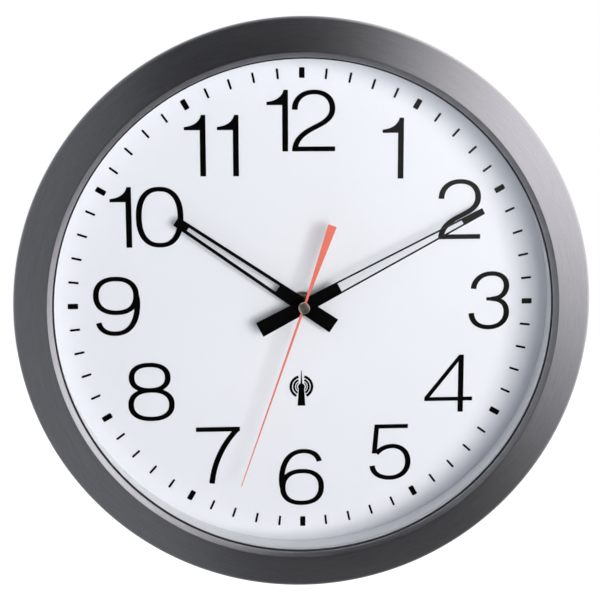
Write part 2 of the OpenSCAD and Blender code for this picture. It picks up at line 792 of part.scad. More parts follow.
// Pieces on the stem, in front of and behind the dial
seat_r = 14;
module seat_washer() {
    color(black) translate([0, 0, move_front_z]) tube(seat_r, stem_r + 0.3, seat_t);
}
module hub_washer() {
    color(brass) translate([0, 0, dial_z]) tube(washer_d / 2, stem_r + 0.2, washer_t);
}
module hub_nut() {
    corner = nut_af / 2 / cos(30);
    color(brass) translate([0, 0, dial_z + washer_t]) difference() {
        intersection() {
            cylinder(r = corner, h = nut_t, $fn = 6);
            rotate_extrude() polygon([
                [0, 0], [nut_af / 2 - 0.1, 0], [corner + 0.1, 0.8], [corner + 0.1, nut_t - 0.8],
                [nut_af / 2 - 0.1, nut_t], [0, nut_t]
            ]);
        }
        translate([0, 0, -1]) cylinder(r = stem_r + seat_gap, h = nut_t + 2);
    }
}
bush_r = 5;
bush_flange_r = 6;
bush_flange_t = 1;
module stem_bush() {
    bottom = move_in_front_z - bush_flange_t;
    color(brass) difference() {
        union() {
            translate([0, 0, bottom]) cylinder(r = stem_r, h = stem_z - bottom - 0.4);
            translate([0, 0, stem_z - 0.4]) cylinder(r1 = stem_r, r2 = stem_r - 0.4, h = 0.4);
            translate([0, 0, bottom]) cylinder(r = bush_flange_r, h = bush_flange_t);
            translate([0, 0, bottom]) cylinder(r = bush_r, h = bush_flange_t + move_t);
        }
        translate([0, 0, bottom - 1]) cylinder(d = hour_pipe_d + 2 * run, h = cut_through);
    }
}

// Gear outline: radial flanks below the pitch circle, rounded faces above it
tooth_share = 0.86;
function gear_outline(n, m, turn) = let (
    r = m * n / 2,
    add = 0.85 * m,
    ded = 1.15 * m,
    half = tooth_share * 90 / n
) [
    for (i = [0:n - 1]) let (a = turn + i * 360 / n)
        each [
            polar(r - ded, a - half * 1.1), polar(r, a - half), polar(r + add, a - half * 0.42),
            polar(r + add, a + half * 0.42), polar(r, a + half), polar(r - ded, a + half * 1.1)
        ]
];
module gear(n, m, h, turn) {
    linear_extrude(h) polygon(gear_outline(n, m, turn));
}
// Wheel with its rim, web and round lightening holes
module wheel(n, m, h, turn, hub_r, holes) {
    r = m * n / 2;
    hole_r = (r - 3 * m - hub_r) / 2 - 0.3;
    hole_at = (r - 3 * m + hub_r) / 2;
    difference() {
        gear(n, m, h, turn);
        if (holes > 0 && hole_r > 0.3) around(holes)
            translate([hole_at, 0, -1]) cylinder(r = hole_r, h = h + 2, $fn = 24);
    }
}

// Housing of the movement, in two halves
move_corner_r = 3;
hook_w = 8;
hook_t = 1.2;
hook_reach = 3;
post_r = 1.5;
module hook() {
    top = move_front_z - 1;
    translate([seat_gap, -hook_w / 2, move_split_z - hook_reach])
        cube([hook_t, hook_w, top - move_split_z + hook_reach]);
    translate([-0.5, -hook_w / 2, move_split_z + 1]) cube([1, hook_w, top - move_split_z - 1]);
}
module move_wall(t, h) {
    difference() {
        plate(move_w, move_h, h, move_corner_r);
        translate([0, 0, -1]) plate(move_w - 2 * t, move_h - 2 * t, h + 2, move_corner_r - t);
    }
}
module front_boss(at, bottom, r_bore) {
    translate([at[0], at[1], bottom]) difference() {
        cylinder(r = front_boss_r, h = move_in_front_z - bottom + 0.5, $fn = 24);
        translate([0, 0, -1]) cylinder(r = r_bore, h = 2.2, $fn = 24);
    }
}
stud_r = 0.6;
stud_foot = 0.6;
stud_collar_h = 4.2;
module movement_front() {
    bore_r = pivot_d / 2 + run;
    color(nylon) {
        difference() {
            union() {
                translate([0, move_mid_y, move_split_z + seat_gap])
                    move_wall(move_t, move_front_z - move_split_z - seat_gap);
                translate([0, move_mid_y, move_in_front_z]) plate(move_w, move_h, move_t, move_corner_r);
            }
            translate([0, 0, move_in_front_z - 1]) cylinder(r = bush_r + seat_gap, h = cut_thin);
        }
        front_boss(seconds_third_at, third_end_z - 1, bore_r);
        front_boss(minutes_third_at, third_end_z - 1, bore_r);
        front_boss(seconds_rotor_at, rotor_end_z - 1, bore_r);
        front_boss(minutes_rotor_at, rotor_end_z - 1, bore_r);
        translate([motion_at[0], motion_at[1], motion_z]) {
            translate([0, 0, -stud_foot])
                cylinder(r = stud_r, h = move_in_front_z - motion_z + stud_foot + 0.5, $fn = 24);
            translate([0, 0, stud_collar_h])
                cylinder(r = front_boss_r, h = move_in_front_z - motion_z - stud_collar_h + 0.5, $fn = 24);
        }
        for (x = [-bar_x, bar_x]) for (y = [stator_bottom, stator_top - stator_bar_w])
            translate([x, y + stator_bar_w / 2, stator_z + stator_t])
                cylinder(r = post_r, h = move_in_front_z - stator_z - stator_t + 0.5, $fn = 24);
        for (x = [-board_post_x, board_post_x]) for (y = [-board_post_y, board_post_y])
            translate([x, board_y + y, board_z + board_t])
                cylinder(r = post_r, h = move_in_front_z - board_z - board_t + 0.5, $fn = 24);
        for (side = [0, 1]) mirror([side, 0, 0]) for (y = [-move_h / 3, move_h / 3])
            translate([move_w / 2, move_mid_y + y, 0]) hook();
    }
}
module rear_boss(at, r_out) {
    translate([at[0], at[1], move_in_rear_z - 0.5]) cylinder(r = r_out, h = boss_h + 0.5, $fn = 24);
}
module pivot_hole(at, d) {
    translate([at[0], at[1], pivot_z - 0.2]) cylinder(d = d + 2 * run, h = 5, $fn = 24);
}
saddle_x = 22;
module movement_rear() {
    third_places = [seconds_third_at, minutes_third_at, seconds_rotor_at, minutes_rotor_at];
    color(nylon) difference() {
        union() {
            difference() {
                translate([0, move_mid_y, move_rear_z])
                    plate(move_w, move_h, move_split_z - move_rear_z - seat_gap, move_corner_r);
                translate([0, move_mid_y, move_in_rear_z])
                    plate(move_w - 2 * move_t, move_h - 2 * move_t, 30, move_corner_r - move_t);
            }
            translate([-trough_wall_w / 2, trough_top_y, move_rear_z])
                cube([trough_wall_w, move_t, move_in_front_z - move_rear_z - fit_gap]);
            for (side = [-1, 1])
                translate([side * (trough_x + move_t / 2) - move_t / 2, trough_low_y, move_rear_z])
                    cube([move_t, trough_top_y + 0.5 - trough_low_y, contact_top_z - move_rear_z]);
            for (at = third_places) rear_boss(at, boss_r);
            rear_boss([0, 0], 1.4);
            for (side = [-1, 1])
                translate([side * saddle_x - saddle_w / 2, rod_y - rod_r - 1, move_in_rear_z - 0.5])
                    cube([saddle_w, 2 * rod_r + 2, rod_z - move_in_rear_z - 1]);
        }
        translate([-trough_x, move_mid_y - move_h / 2 + move_t, move_rear_z - 1])
            cube([2 * trough_x, trough_top_y - move_mid_y + move_h / 2 - move_t, cut_thin]);
        for (at = third_places) pivot_hole(at, pivot_d);
        pivot_hole([0, 0], arbor_d);
        for (x = [-button_x, 0, button_x])
            translate([x, button_y, move_rear_z - 1]) cylinder(r = button_r + 0.1, h = 6);
        translate([-rod_l / 2, rod_y, rod_z]) rotate([0, 90, 0])
            cylinder(r = rod_r + seat_gap, h = rod_l);
    }
}

// Wheels on the hands' axis
hub_r = 1.4;
minute_pinion_l = 1.6;
motion_wheel_t = 1.2;
motion_pinion_l = 3.8;
module hour_wheel() {
    color(nylon) difference() {
        union() {
            translate([0, 0, hour_wheel_z]) wheel(hour_n, hour_m, wheel_t, hour_turn, 0, 0);
            translate([0, 0, hour_wheel_z - 0.3])
                cylinder(d = hour_pipe_d, h = hour_hand_z + hand_t + 0.4 - hour_wheel_z + 0.3);
        }
        translate([0, 0, hour_wheel_z - 2]) cylinder(d = minute_pipe_d + 2 * run, h = cut_through);
    }
}
module minute_wheel() {
    color(nylon) difference() {
        union() {
            translate([0, 0, minute_wheel_z]) wheel(minute_n, centre_m, wheel_t, 0, 2, 5);
            translate([0, 0, minute_wheel_z - 0.5])
                cylinder(d = minute_pipe_d, h = minute_hand_z + hand_t + 0.4 - minute_wheel_z + 0.5);
            translate([0, 0, minute_pinion_z]) gear(minute_pinion_n, motion_m, minute_pinion_l, 0);
        }
        translate([0, 0, minute_wheel_z - 2]) cylinder(d = arbor_d + 2 * run, h = cut_through);
    }
}
module seconds_wheel() {
    color(nylon) {
        translate([0, 0, seconds_wheel_z]) wheel(seconds_n, centre_m, wheel_t, 0, 1.6, 5);
        translate([0, 0, pivot_z]) cylinder(d = arbor_d, h = cap_z + 1.2 - pivot_z);
        translate([0, 0, seconds_wheel_z - 0.2]) cylinder(r = hub_r, h = 1.7);
    }
}
module motion_wheel() {
    color(nylon) translate([motion_at[0], motion_at[1], motion_z]) difference() {
        union() {
            wheel(motion_n, motion_m, motion_wheel_t, motion_turn, 1.8, 5);
            gear(motion_pinion_n, hour_m, motion_pinion_l, motion_turn);
        }
        translate([0, 0, -1]) cylinder(r = stud_r + run, h = cut_thin, $fn = 24);
    }
}

// Wheels between the rotors and the hands
module third_arbor(at, end_z) {
    translate([at[0], at[1], pivot_z]) cylinder(d = pivot_d, h = end_z - pivot_z, $fn = 24);
}
module seconds_third_wheel() {
    color(nylon) {
        third_arbor(seconds_third_at, third_end_z);
        translate([seconds_third_at[0], seconds_third_at[1], third_z])
            wheel(seconds_third_n, centre_m, third_t, seconds_third_turn, 0.9, 0);
        translate([seconds_third_at[0], seconds_third_at[1], seconds_wheel_z])
            gear(pinion_n, centre_m, third_z - seconds_wheel_z + 0.1, seconds_third_turn);
    }
}
module minutes_third_wheel() {
    color(nylon) {
        third_arbor(minutes_third_at, third_end_z);
        translate([minutes_third_at[0], minutes_third_at[1], third_z])
            wheel(minutes_third_n, minutes_rotor_m, third_t, minutes_third_turn, 1.6, 5);
        translate([minutes_third_at[0], minutes_third_at[1], third_z + third_t - 0.1])
            gear(pinion_n, centre_m, minute_wheel_z + 1.3 - third_z - third_t + 0.1, minutes_third_turn);
    }
}
module rotor(at, m, turn) {
    third_arbor(at, rotor_end_z);
    translate([at[0], at[1], third_z - 0.2]) gear(pinion_n, m, third_t + 0.4, turn);
    translate([at[0], at[1], magnet_z]) {
        cylinder(r = magnet_r, h = magnet_t, $fn = 32);
        translate([0, 0, -0.3]) cylinder(r = 1.2, h = magnet_t + 0.6, $fn = 24);
    }
}
module seconds_rotor() {
    color([0.3, 0.3, 0.32]) rotor(seconds_rotor_at, centre_m, seconds_rotor_turn);
}
module minutes_rotor() {
    color([0.3, 0.3, 0.32]) rotor(minutes_rotor_at, minutes_rotor_m, minutes_rotor_turn);
}

// Iron frame of a stepping motor; side is -1 for a coil on the left, 1 on the right
module stator(at, side) {
    height = stator_top - stator_bottom;
    span = bar_x - side * at[0];
    color([0.55, 0.56, 0.58]) translate([at[0], 0, stator_z]) difference() {
        union() {
            for (x = [0, side * span])
                translate([x - stator_bar_w / 2, stator_bottom, 0]) cube([stator_bar_w, height, stator_t]);
            for (y = [stator_bottom, stator_top - stator_bar_w])
                translate([min(0, side * span), y, 0]) cube([span, stator_bar_w, stator_t]);
            translate([0, at[1], 0]) cylinder(r = stator_ring_r, h = stator_t);
        }
        translate([0, at[1], -1]) cylinder(r = stator_hole_r, h = stator_t + 2);
    }
}
module coil(side) {
    translate([side * bar_x, coil_y, stator_z + stator_t / 2]) rotate([90, 0, 0]) difference() {
        union() {
            cylinder(r = coil_r, h = coil_l, center = true);
            for (end = [-1, 1]) translate([0, 0, end * (coil_l - coil_flange_t) / 2])
                cylinder(r = coil_flange_r, h = coil_flange_t, center = true);
        }
        cube([stator_bar_w + 0.2, stator_t + 0.2, coil_l + 2], center = true);
    }
}
module seconds_stator() {
    stator(seconds_rotor_at, -1);
}
module minutes_stator() {
    stator(minutes_rotor_at, 1);
}
module seconds_coil() {
    color(copper) coil(-1);
}
module minutes_coil() {
    color(copper) coil(1);
}

// Electronics
module circuit_board() {
    color(green) translate([-board_l / 2, board_y - board_h / 2, board_z])
        cube([board_l, board_h, board_t]);
}
module receiver_chip() {
    color(black) for (x = chip_x) translate([x - chip_w / 2, board_y - chip_h / 2, board_z - chip_t])
        cube([chip_w, chip_h, chip_t]);
}
module quartz_crystal() {
    color(steel) translate([board_l / 2 - 13, board_y - 3.2, board_z - crystal_r - 0.05])
        rotate([0, 90, 0]) cylinder(r = crystal_r, h = crystal_l, $fn = 24);
}
module button_switches() {
    color(steel) for (x = [-button_x, 0, button_x]) {
        translate([x - switch_w / 2, button_y - switch_w / 2, switch_z]) cube([switch_w, switch_w, switch_t]);
        translate([x, button_y, switch_z - dome_t]) cylinder(r = dome_r, h = dome_t + 0.1, $fn = 24);
    }
}
module antenna_rod() {
    color([0.2, 0.2, 0.2]) translate([-rod_l / 2, rod_y, rod_z]) rotate([0, 90, 0])
        cylinder(r = rod_r, h = rod_l);
}
module antenna_winding() {
    color(copper) translate([-winding_l / 2, rod_y, rod_z]) rotate([0, 90, 0])
        tube(winding_r, rod_r + seat_gap, winding_l);
}

// Battery cell and its contacts
nub_r = 2.7;
nub_h = 1.2;
module battery_cell() {
    color([0.3, 0.32, 0.36]) translate([-cell_l / 2, cell_y, cell_z]) rotate([0, 90, 0]) rotate_extrude()
        polygon([
            [0, 0], [cell_r - 0.8, 0], [cell_r, 0.8], [cell_r, cell_l - nub_h - 0.8],
            [cell_r - 0.8, cell_l - nub_h], [nub_r, cell_l - nub_h], [nub_r, cell_l], [0, cell_l]
        ]);
}
contact_w = 8;
module contact(side, bulge) {
    x = trough_x - 0.1;
    translate([0, cell_y + contact_w / 2, 0]) rotate([90, 0, 0]) linear_extrude(contact_w) polygon([
        [side * x, move_in_rear_z + 0.2], [side * x, contact_top_z],
        [side * (x - contact_t), contact_top_z], [side * (x - contact_t), cell_z + 3],
        [side * (x - contact_t - bulge), cell_z + 1], [side * (x - contact_t - bulge), cell_z - 1],
        [side * (x - contact_t), cell_z - 3], [side * (x - contact_t), move_in_rear_z + 0.2]
    ]);
}
module positive_contact() {
    color(steel) contact(1, 1.3);
}
module negative_contact() {
    color(steel) contact(-1, 1.3);
}

// Push buttons on the movement's back
module push_button(x) {
    flange_z = move_in_rear_z + fit_gap;
    translate([x, button_y, 0]) {
        translate([0, 0, move_rear_z - button_out])
            cylinder(r = button_r, h = flange_z - move_rear_z + button_out, $fn = 32);
        translate([0, 0, flange_z - 0.1]) cylinder(r = button_flange_r, h = 0.9, $fn = 32);
        translate([0, 0, flange_z]) cylinder(r = button_stem_r, h = button_end_z - flange_z, $fn = 24);
    }
}
module set_button() {
    color([0.2, 0.2, 0.22]) push_button(-button_x);
}
module receive_button() {
    color([0.2, 0.2, 0.22]) push_button(0);
}
module reset_button() {
    color([0.2, 0.2, 0.22]) push_button(button_x);
}

// Hands, drawn pointing to twelve
function taper(w, tail, tip, at) = w[0] + (w[1] - w[0]) * (at + tail) / (tip + tail);
module slotted_hand(w, tail, tip, slot, rail, pipe_d, collet_r, collet_h) {
    low = taper(w, tail, tip, slot[0]) / 2 - rail;
    high = taper(w, tail, tip, slot[1]) / 2 - rail;
    difference() {
        union() {
            linear_extrude(hand_t) difference() {
                polygon([[-w[0] / 2, -tail], [w[0] / 2, -tail], [w[1] / 2, tip], [-w[1] / 2, tip]]);
                polygon([[-low, slot[0]], [low, slot[0]], [high, slot[1]], [-high, slot[1]]]);
            }
            translate([0, 0, -collet_h]) cylinder(r = collet_r, h = collet_h + hand_t / 2);
        }
        translate([0, 0, -collet_h - 1]) cylinder(d = pipe_d + 2 * press, h = collet_h + hand_t + 2);
    }
}
module hour_hand() {
    color(black) translate([0, 0, hour_hand_z]) rotate(-hour_at)
        slotted_hand(hour_w, hour_tail, hour_tip, hour_slot, hour_rail, hour_pipe_d, 4.2, 1.4);
}
module minute_hand() {
    color(black) translate([0, 0, minute_hand_z]) rotate(-minute_at)
        slotted_hand(minute_w, minute_tail, minute_tip, minute_slot, minute_rail, minute_pipe_d, 3, 1.4);
}
neck = 8;
module second_hand() {
    color(coral) translate([0, 0, second_hand_z]) rotate(-second_at) difference() {
        union() {
            linear_extrude(second_t) polygon([
                [-second_w[0] / 2, -second_tail], [second_w[0] / 2, -second_tail],
                [second_w[1] / 2, -neck], [second_w[1] / 2, neck], [second_w[2] / 2, second_tip],
                [-second_w[2] / 2, second_tip], [-second_w[1] / 2, neck], [-second_w[1] / 2, -neck]
            ]);
            cylinder(r = 2, h = second_t);
            translate([0, 0, -1.8]) cylinder(r = 1.4, h = 2);
        }
        translate([0, 0, -3]) cylinder(d = arbor_d + 2 * press, h = 6, $fn = 24);
    }
}
module second_hand_cap() {
    r = cap_d / 2;
    h = cap_top_z - cap_z;
    color([0.70, 0.68, 0.62]) translate([0, 0, cap_z]) difference() {
        rotate_extrude() polygon([
            [0, 0], [r - 0.2, 0], [r, 0.2], [r, h - 0.5], [r - 0.15, h - 0.15], [r - 0.5, h],
            [r - 0.8, h - 0.2], [0, h - 0.2]
        ]);
        translate([0, 0, -1]) cylinder(d = arbor_d + 2 * press, h = 2.5, $fn = 24);
    }
}

hung() bezel();
hung() bezel_tabs();
hung() lens_channel();
hung() lens();
hung() reflector_ring();
hung() dial();
hung() dial_marks();
hung() back_shell();
hung() shell_gasket();
hung() case_screws();
hung() wall_pads();
hung() hanger_plate();
hung() hanger_screws();
hung() battery_door();
hung() door_gasket();
hung() hinge_pin();
hung() seat_washer();
hung() hub_washer();
hung() hub_nut();
hung() stem_bush();
hung() movement_front();
hung() movement_rear();
hung() hour_wheel();
hung() hour_hand();
hung() minute_wheel();
hung() minute_hand();
hung() seconds_wheel();
hung() second_hand();
hung() second_hand_cap();
hung() motion_wheel();
hung() seconds_third_wheel();
hung() minutes_third_wheel();
hung() seconds_rotor();
hung() minutes_rotor();
hung() seconds_stator();
hung() minutes_stator();
hung() seconds_coil();
hung() minutes_coil();
hung() circuit_board();
hung() receiver_chip();
hung() quartz_crystal();
hung() button_switches();
hung() antenna_rod();
hung() antenna_winding();
hung() battery_cell();
hung() positive_contact();
hung() negative_contact();
hung() set_button();
hung() receive_button();
hung() reset_button();
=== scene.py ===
# %% [markdown]
# # An outdoor wall clock
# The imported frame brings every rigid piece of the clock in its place: the case, the glass, the dial, the
# hands and the whole movement. This lesson dresses that frame. It draws the numerals and the pictogram on
# the dial, spins a smooth bezel and the rubber line inside it, and gives every piece the finish that the real
# one has. All sizes are in metres, because the frame is; values of the dial are easier to read in
# millimetres, so MM turns them.

# %% Load the frame
import math
import bmesh
import bpy
from mathutils import Matrix, Vector
from mathutils.geometry import delaunay_2d_cdt


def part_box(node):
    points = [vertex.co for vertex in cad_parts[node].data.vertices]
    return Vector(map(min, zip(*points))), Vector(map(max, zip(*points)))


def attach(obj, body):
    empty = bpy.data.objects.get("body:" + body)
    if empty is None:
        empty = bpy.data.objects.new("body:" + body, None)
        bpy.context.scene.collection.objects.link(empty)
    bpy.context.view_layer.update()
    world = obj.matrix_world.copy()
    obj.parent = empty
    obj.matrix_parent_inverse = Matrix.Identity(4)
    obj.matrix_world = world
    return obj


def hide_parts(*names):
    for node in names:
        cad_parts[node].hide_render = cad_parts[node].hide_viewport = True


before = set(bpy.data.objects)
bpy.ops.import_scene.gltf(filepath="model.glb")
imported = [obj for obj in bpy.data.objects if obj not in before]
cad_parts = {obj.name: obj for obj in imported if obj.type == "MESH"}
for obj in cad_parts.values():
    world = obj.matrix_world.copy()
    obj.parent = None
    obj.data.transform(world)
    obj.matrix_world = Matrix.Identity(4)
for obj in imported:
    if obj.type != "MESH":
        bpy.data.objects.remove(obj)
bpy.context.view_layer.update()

MM = 0.001

# %% [markdown]
# ## Where things are
# Everything else needs two things: the hub, where the hands turn, and the plane of the dial's face. The box
# of the bezel gives the first, because the bezel is round about the hub, and the box of the dial the second.
# The matrix STAND turns a place as a clockmaker would say it, so many millimetres right of the hub, above it,
# and out from the dial, into the point in the frame. Each piece is drawn in those and then stood up with it.

# %% The hub and the dial's face
dial_low, dial_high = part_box("dial")
bezel_low, bezel_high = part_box("bezel")
hub_x = (bezel_low.x + bezel_high.x) / 2
hub_z = (bezel_low.z + bezel_high.z) / 2
face_y = dial_low.y
clock_r = (bezel_high.x - bezel_low.x) / 2 / MM
lip_h = (face_y - bezel_low.y) / MM
bezel_edge_h = (face_y - bezel_high.y) / MM
STAND = Matrix(((MM, 0, 0, hub_x), (0, 0, -MM, face_y), (0, MM, 0, hub_z), (0, 0, 0, 1)))
HUB = STAND.to_translation()
print(f"clock radius {clock_r:.1f} mm, lip {lip_h:.1f} mm in front of the dial")

# %% [markdown]
# ## Camera
# The photograph was taken from a little above and to the left of the clock, from under a metre away. A camera
# could be turned by angles, but it is easier to set by where it stands and what it looks at: aimed() turns it
# there, and a last small turn about its own axis levels the picture as the photograph is. A lens of 73 mm on
# a 36 mm sensor gives the photograph's frame.

# %% Set the camera
CAMERA_AT = Vector((-0.0481, -0.7926, 0.0024))
LOOKS_AT = Vector((-0.0014, -0.0245, -0.1258))
LENS_LENGTH = 73.3
SENSOR_WIDTH = 36
LEVEL_TURN = -0.14


def in_scene(name, data):
    """An object with this data, linked to the scene."""
    thing = bpy.data.objects.new(name, data)
    bpy.context.scene.collection.objects.link(thing)
    return thing


def aimed(place, target):
    """The matrix of a camera or a lamp that stands at a place and faces a target."""
    return Matrix.Translation(place) @ (target - place).to_track_quat("-Z", "Y").to_matrix().to_4x4()


camera = in_scene("camera", bpy.data.cameras.new("camera"))
camera.data.lens = LENS_LENGTH
camera.data.sensor_width = SENSOR_WIDTH
camera.matrix_world = aimed(CAMERA_AT, LOOKS_AT) @ Matrix.Rotation(math.radians(LEVEL_TURN), 4, "Z")
bpy.context.scene.camera = camera
bpy.context.scene.view_settings.view_transform = "Standard"
print("camera is", round((LOOKS_AT - CAMERA_AT).length, 3), "m from the dial")

# %% [markdown]
# ## A short way to write shader maths
# A shader is a graph of nodes, and sums in it need a Math node each. Socket wraps one output, and its
# operators add those nodes, so 1 - mask is written as it is on paper. NodeTree.make adds any other node:
# its type, its settings, which are set first, and the values or links of its sockets. Two nodes are needed
# so often that they have their own names: blend() lies between two colours, and spread() takes the numbers
# of one range to those of another.

# %% Sockets that can be added and multiplied
class Socket:
    def __init__(self, tree, link):
        self.tree, self.link = tree, link

    def math(self, operation, first, second=None):
        values = {0: first} if second is None else {0: first, 1: second}
        return self.tree.make("ShaderNodeMath", {"operation": operation}, values)

    def __add__(self, other):
        return self.math("ADD", self, other)

    def __sub__(self, other):
        return self.math("SUBTRACT", self, other)

    def __rsub__(self, other):
        return self.math("SUBTRACT", other, self)

    def __mul__(self, other):
        return self.math("MULTIPLY", self, other)

    def __truediv__(self, other):
        return self.math("DIVIDE", self, other)

    def __pow__(self, other):
        return self.math("POWER", self, other)

    def over(self, other):
        return self.math("GREATER_THAN", self, other)

    def largest(self, other):
        return self.math("MAXIMUM", self, other)

    def angle_from(self, other):
        return self.math("ARCTAN2", self, other)

    def wave(self):
        return self.math("SINE", self)

    __radd__ = __add__
    __rmul__ = __mul__


# %% A tree that adds its own nodes
class NodeTree:
    def __init__(self, owner):
        owner.use_nodes = True
        self.tree = owner.node_tree
        self.tree.nodes.clear()

    def make(self, kind, settings=None, sockets=None, out=0):
        node = self.tree.nodes.new(kind)
        for name, value in (settings or {}).items():
            setattr(node, name, value)
        for name, value in (sockets or {}).items():
            if isinstance(value, Socket):
                self.tree.links.new(value.link, node.inputs[name])
            else:
                node.inputs[name].default_value = value
        if isinstance(out, tuple):
            return [Socket(self, node.outputs[name]) for name in out]
        return Socket(self, node.outputs[out]) if node.outputs else None

    def xyz(self, vector):
        return self.make("ShaderNodeSeparateXYZ", sockets={0: vector}, out=("X", "Y", "Z"))

    def blend(self, share, first, second):
        return self.make("ShaderNodeMix", {"data_type": "RGBA"}, {0: share, 6: first, 7: second}, out=2)

    def spread(self, value, start, end, low=0.0, high=1.0, shape="LINEAR"):
        return self.make("ShaderNodeMapRange", {"interpolation_type": shape}, {
            0: value, "From Min": start, "From Max": end, "To Min": low, "To Max": high})


def grey(value):
    return (value, value, value, 1)


# %% [markdown]
# ## Studio
# The clock is photographed against pure white. Rays from the camera, and rays that pass through the glass,
# see a white world at strength 1. Metal is another matter: what gives brushed steel its shape is the dark
# room in front of it with a few bright things in it. So rays that leave a glossy surface see white only well
# towards the back, and in front of the clock a dim room with these in it:
#
# - a tall soft box on the right, brightest at a clock angle of about 66 degrees
# - a pale wall far to the left, and a small dim box to the right of the camera and a little lower
# - a grey zone to the sides, which only the bezel's corner and side mirror, with a second box at its right
#
# An image of a studio could be wrapped round the clock instead, but then nobody could say why it looks so.
# Here each thing is named, and each of its soft edges is a pair: where it starts and where it is full, in
# degrees of the clock for the tall things and as part of a direction of length one for the others. The
# room is tinted a little cool on the left and a trace warm on the right. Rays that leave a dull surface see
# an even, slightly blue light that is weaker in front.

# %% What stands in the room
TALL_BOX = {"edges": ((15, 65), (145, 67)), "glow": 1.27}
SIDE_BOX = {"edges": ((0, 32), (150, 95)), "glow": 0.9}
NEAR_BOX = {"across": ((0.08, 0.13), (0.28, 0.19)), "upright": ((-0.14, -0.09), (0.12, 0.0)), "glow": 0.36}
PALE_WALL = {"edge": (-0.25, -0.41), "lean": 0.2, "glow": 0.16}
DARK_ROOM = 0.055
DARKEST = 0.003
PAST_THE_CAMERA = (0.3, 0.5)
SIDE_ZONE = {"edge": (-0.5, -0.2), "glow": 0.3}
WHITE_BEHIND = (0.3, 0.6)


class Studio(NodeTree):
    def __init__(self, world):
        super().__init__(world)
        self.right, self.back, self.up = self.xyz(self.make("ShaderNodeTexCoord", out="Generated"))

    def fade(self, value, edge, low=0.0, high=1.0):
        return self.spread(value, *edge, low, high, "SMOOTHSTEP")

    def window(self, value, edges):
        return self.fade(value, edges[0]) * self.fade(value, edges[1])

    def mirrored(self):
        """How bright the room is for a ray that leaves a glossy surface."""
        right, up = self.right, self.up
        clock_angle = right.angle_from(up) * (180 / math.pi)
        aside = self.fade((right * right + up * up) ** 0.5, PAST_THE_CAMERA)
        tall_box = self.window(clock_angle, TALL_BOX["edges"]) * TALL_BOX["glow"]
        pale_wall = self.fade(right + up * PALE_WALL["lean"], PALE_WALL["edge"], 0, PALE_WALL["glow"])
        near_box = self.window(right, NEAR_BOX["across"]) * self.window(up, NEAR_BOX["upright"])
        side_box = self.window(clock_angle, SIDE_BOX["edges"]) * SIDE_BOX["glow"]
        sides = self.fade(self.back, SIDE_ZONE["edge"]) * (side_box + SIDE_ZONE["glow"])
        ahead = ((tall_box + pale_wall + DARK_ROOM) * aside).largest(near_box * NEAR_BOX["glow"])
        return self.fade(self.back, WHITE_BEHIND).largest(ahead.largest(sides) + DARKEST)


print("soft boxes glow at", TALL_BOX["glow"], SIDE_BOX["glow"], NEAR_BOX["glow"])

# %% A white world with the dim room in front
DULL_LIGHT = {"edge": (-0.2, 0.4), "front": 0.21, "behind": 0.92}
DULL_TINT = (0.87, 0.93, 1.02, 1)
LEFT_TO_RIGHT = (-0.2, 0.35)
LEFT_TINT = (0.96, 0.985, 1.03, 1)
RIGHT_TINT = (1.015, 1.0, 1.0, 1)
WHITE = grey(1)


def white_world():
    world = bpy.data.worlds.new("studio")
    tree = Studio(world)
    seen, glossy, through = tree.make("ShaderNodeLightPath", out=("Is Camera Ray", "Is Glossy Ray",
                                                                  "Is Transmission Ray"))
    shows = seen.largest(through)
    known = shows.largest(glossy)
    dull_light = tree.fade(tree.back, DULL_LIGHT["edge"], DULL_LIGHT["front"], DULL_LIGHT["behind"])
    strength = shows.largest(glossy * tree.mirrored()) + (1 - known) * dull_light
    room_tint = tree.blend(tree.fade(tree.right, LEFT_TO_RIGHT), LEFT_TINT, RIGHT_TINT)
    tint = tree.blend(shows, tree.blend(glossy, DULL_TINT, room_tint), WHITE)
    background = tree.make("ShaderNodeBackground", sockets={"Color": tint, "Strength": strength})
    tree.make("ShaderNodeOutputWorld", sockets={"Surface": background})
    return world


bpy.context.scene.world = white_world()
print("world:", len(bpy.context.scene.world.node_tree.nodes), "nodes")

# %% [markdown]
# ## Floor and lamps
# The floor lies well below, as under a clock on a wall, and it glows a little for the camera so that it
# meets the white world without an edge, while the clock's shadow still falls on it. The key light is a soft
# box to the right, a little above the hub: it throws the lip's soft shadow on the dial from one o'clock to
# half past four. A weaker, wider lamp on the left opens the shadows. Metal mirrors neither of them, nor the
# floor: what it mirrors is the room of the cells above, so light and mirror image can be set apart.

# %% Lay the floor
FLOOR_Z = -1.6
FLOOR_SIDE = 14
FLOOR_GREY = 0.82
FLOOR_ROUGHNESS = 0.9
FLOOR_GLOW = 0.8


def studio_floor():
    material = bpy.data.materials.new("studio_floor")
    tree = NodeTree(material)
    seen, through = tree.make("ShaderNodeLightPath", out=("Is Camera Ray", "Is Transmission Ray"))
    paint = tree.make("ShaderNodeBsdfPrincipled", sockets={
        "Base Color": grey(FLOOR_GREY), "Roughness": FLOOR_ROUGHNESS,
        "Emission Color": seen.largest(through), "Emission Strength": FLOOR_GLOW})
    tree.make("ShaderNodeOutputMaterial", sockets={"Surface": paint})
    bm = bmesh.new()
    bmesh.ops.create_grid(bm, x_segments=1, y_segments=1, size=FLOOR_SIDE / 2)
    mesh = bpy.data.meshes.new("floor")
    bm.to_mesh(mesh)
    bm.free()
    mesh.transform(Matrix.Translation((0, 0, FLOOR_Z)))
    mesh.materials.append(material)
    floor = in_scene("floor", mesh)
    floor.visible_glossy = False


studio_floor()

# %% Hang the lamps
LAMPS = {
    "key": {"place": (0.46, -1.28, -0.08), "size": (0.85, 0.6), "power": 15.9, "color": (1, 0.98, 0.965)},
    "fill": {"place": (-1.4, -1.6, 0.5), "size": (1.2, 1.4), "power": 3, "color": (0.96, 0.975, 1)},
}


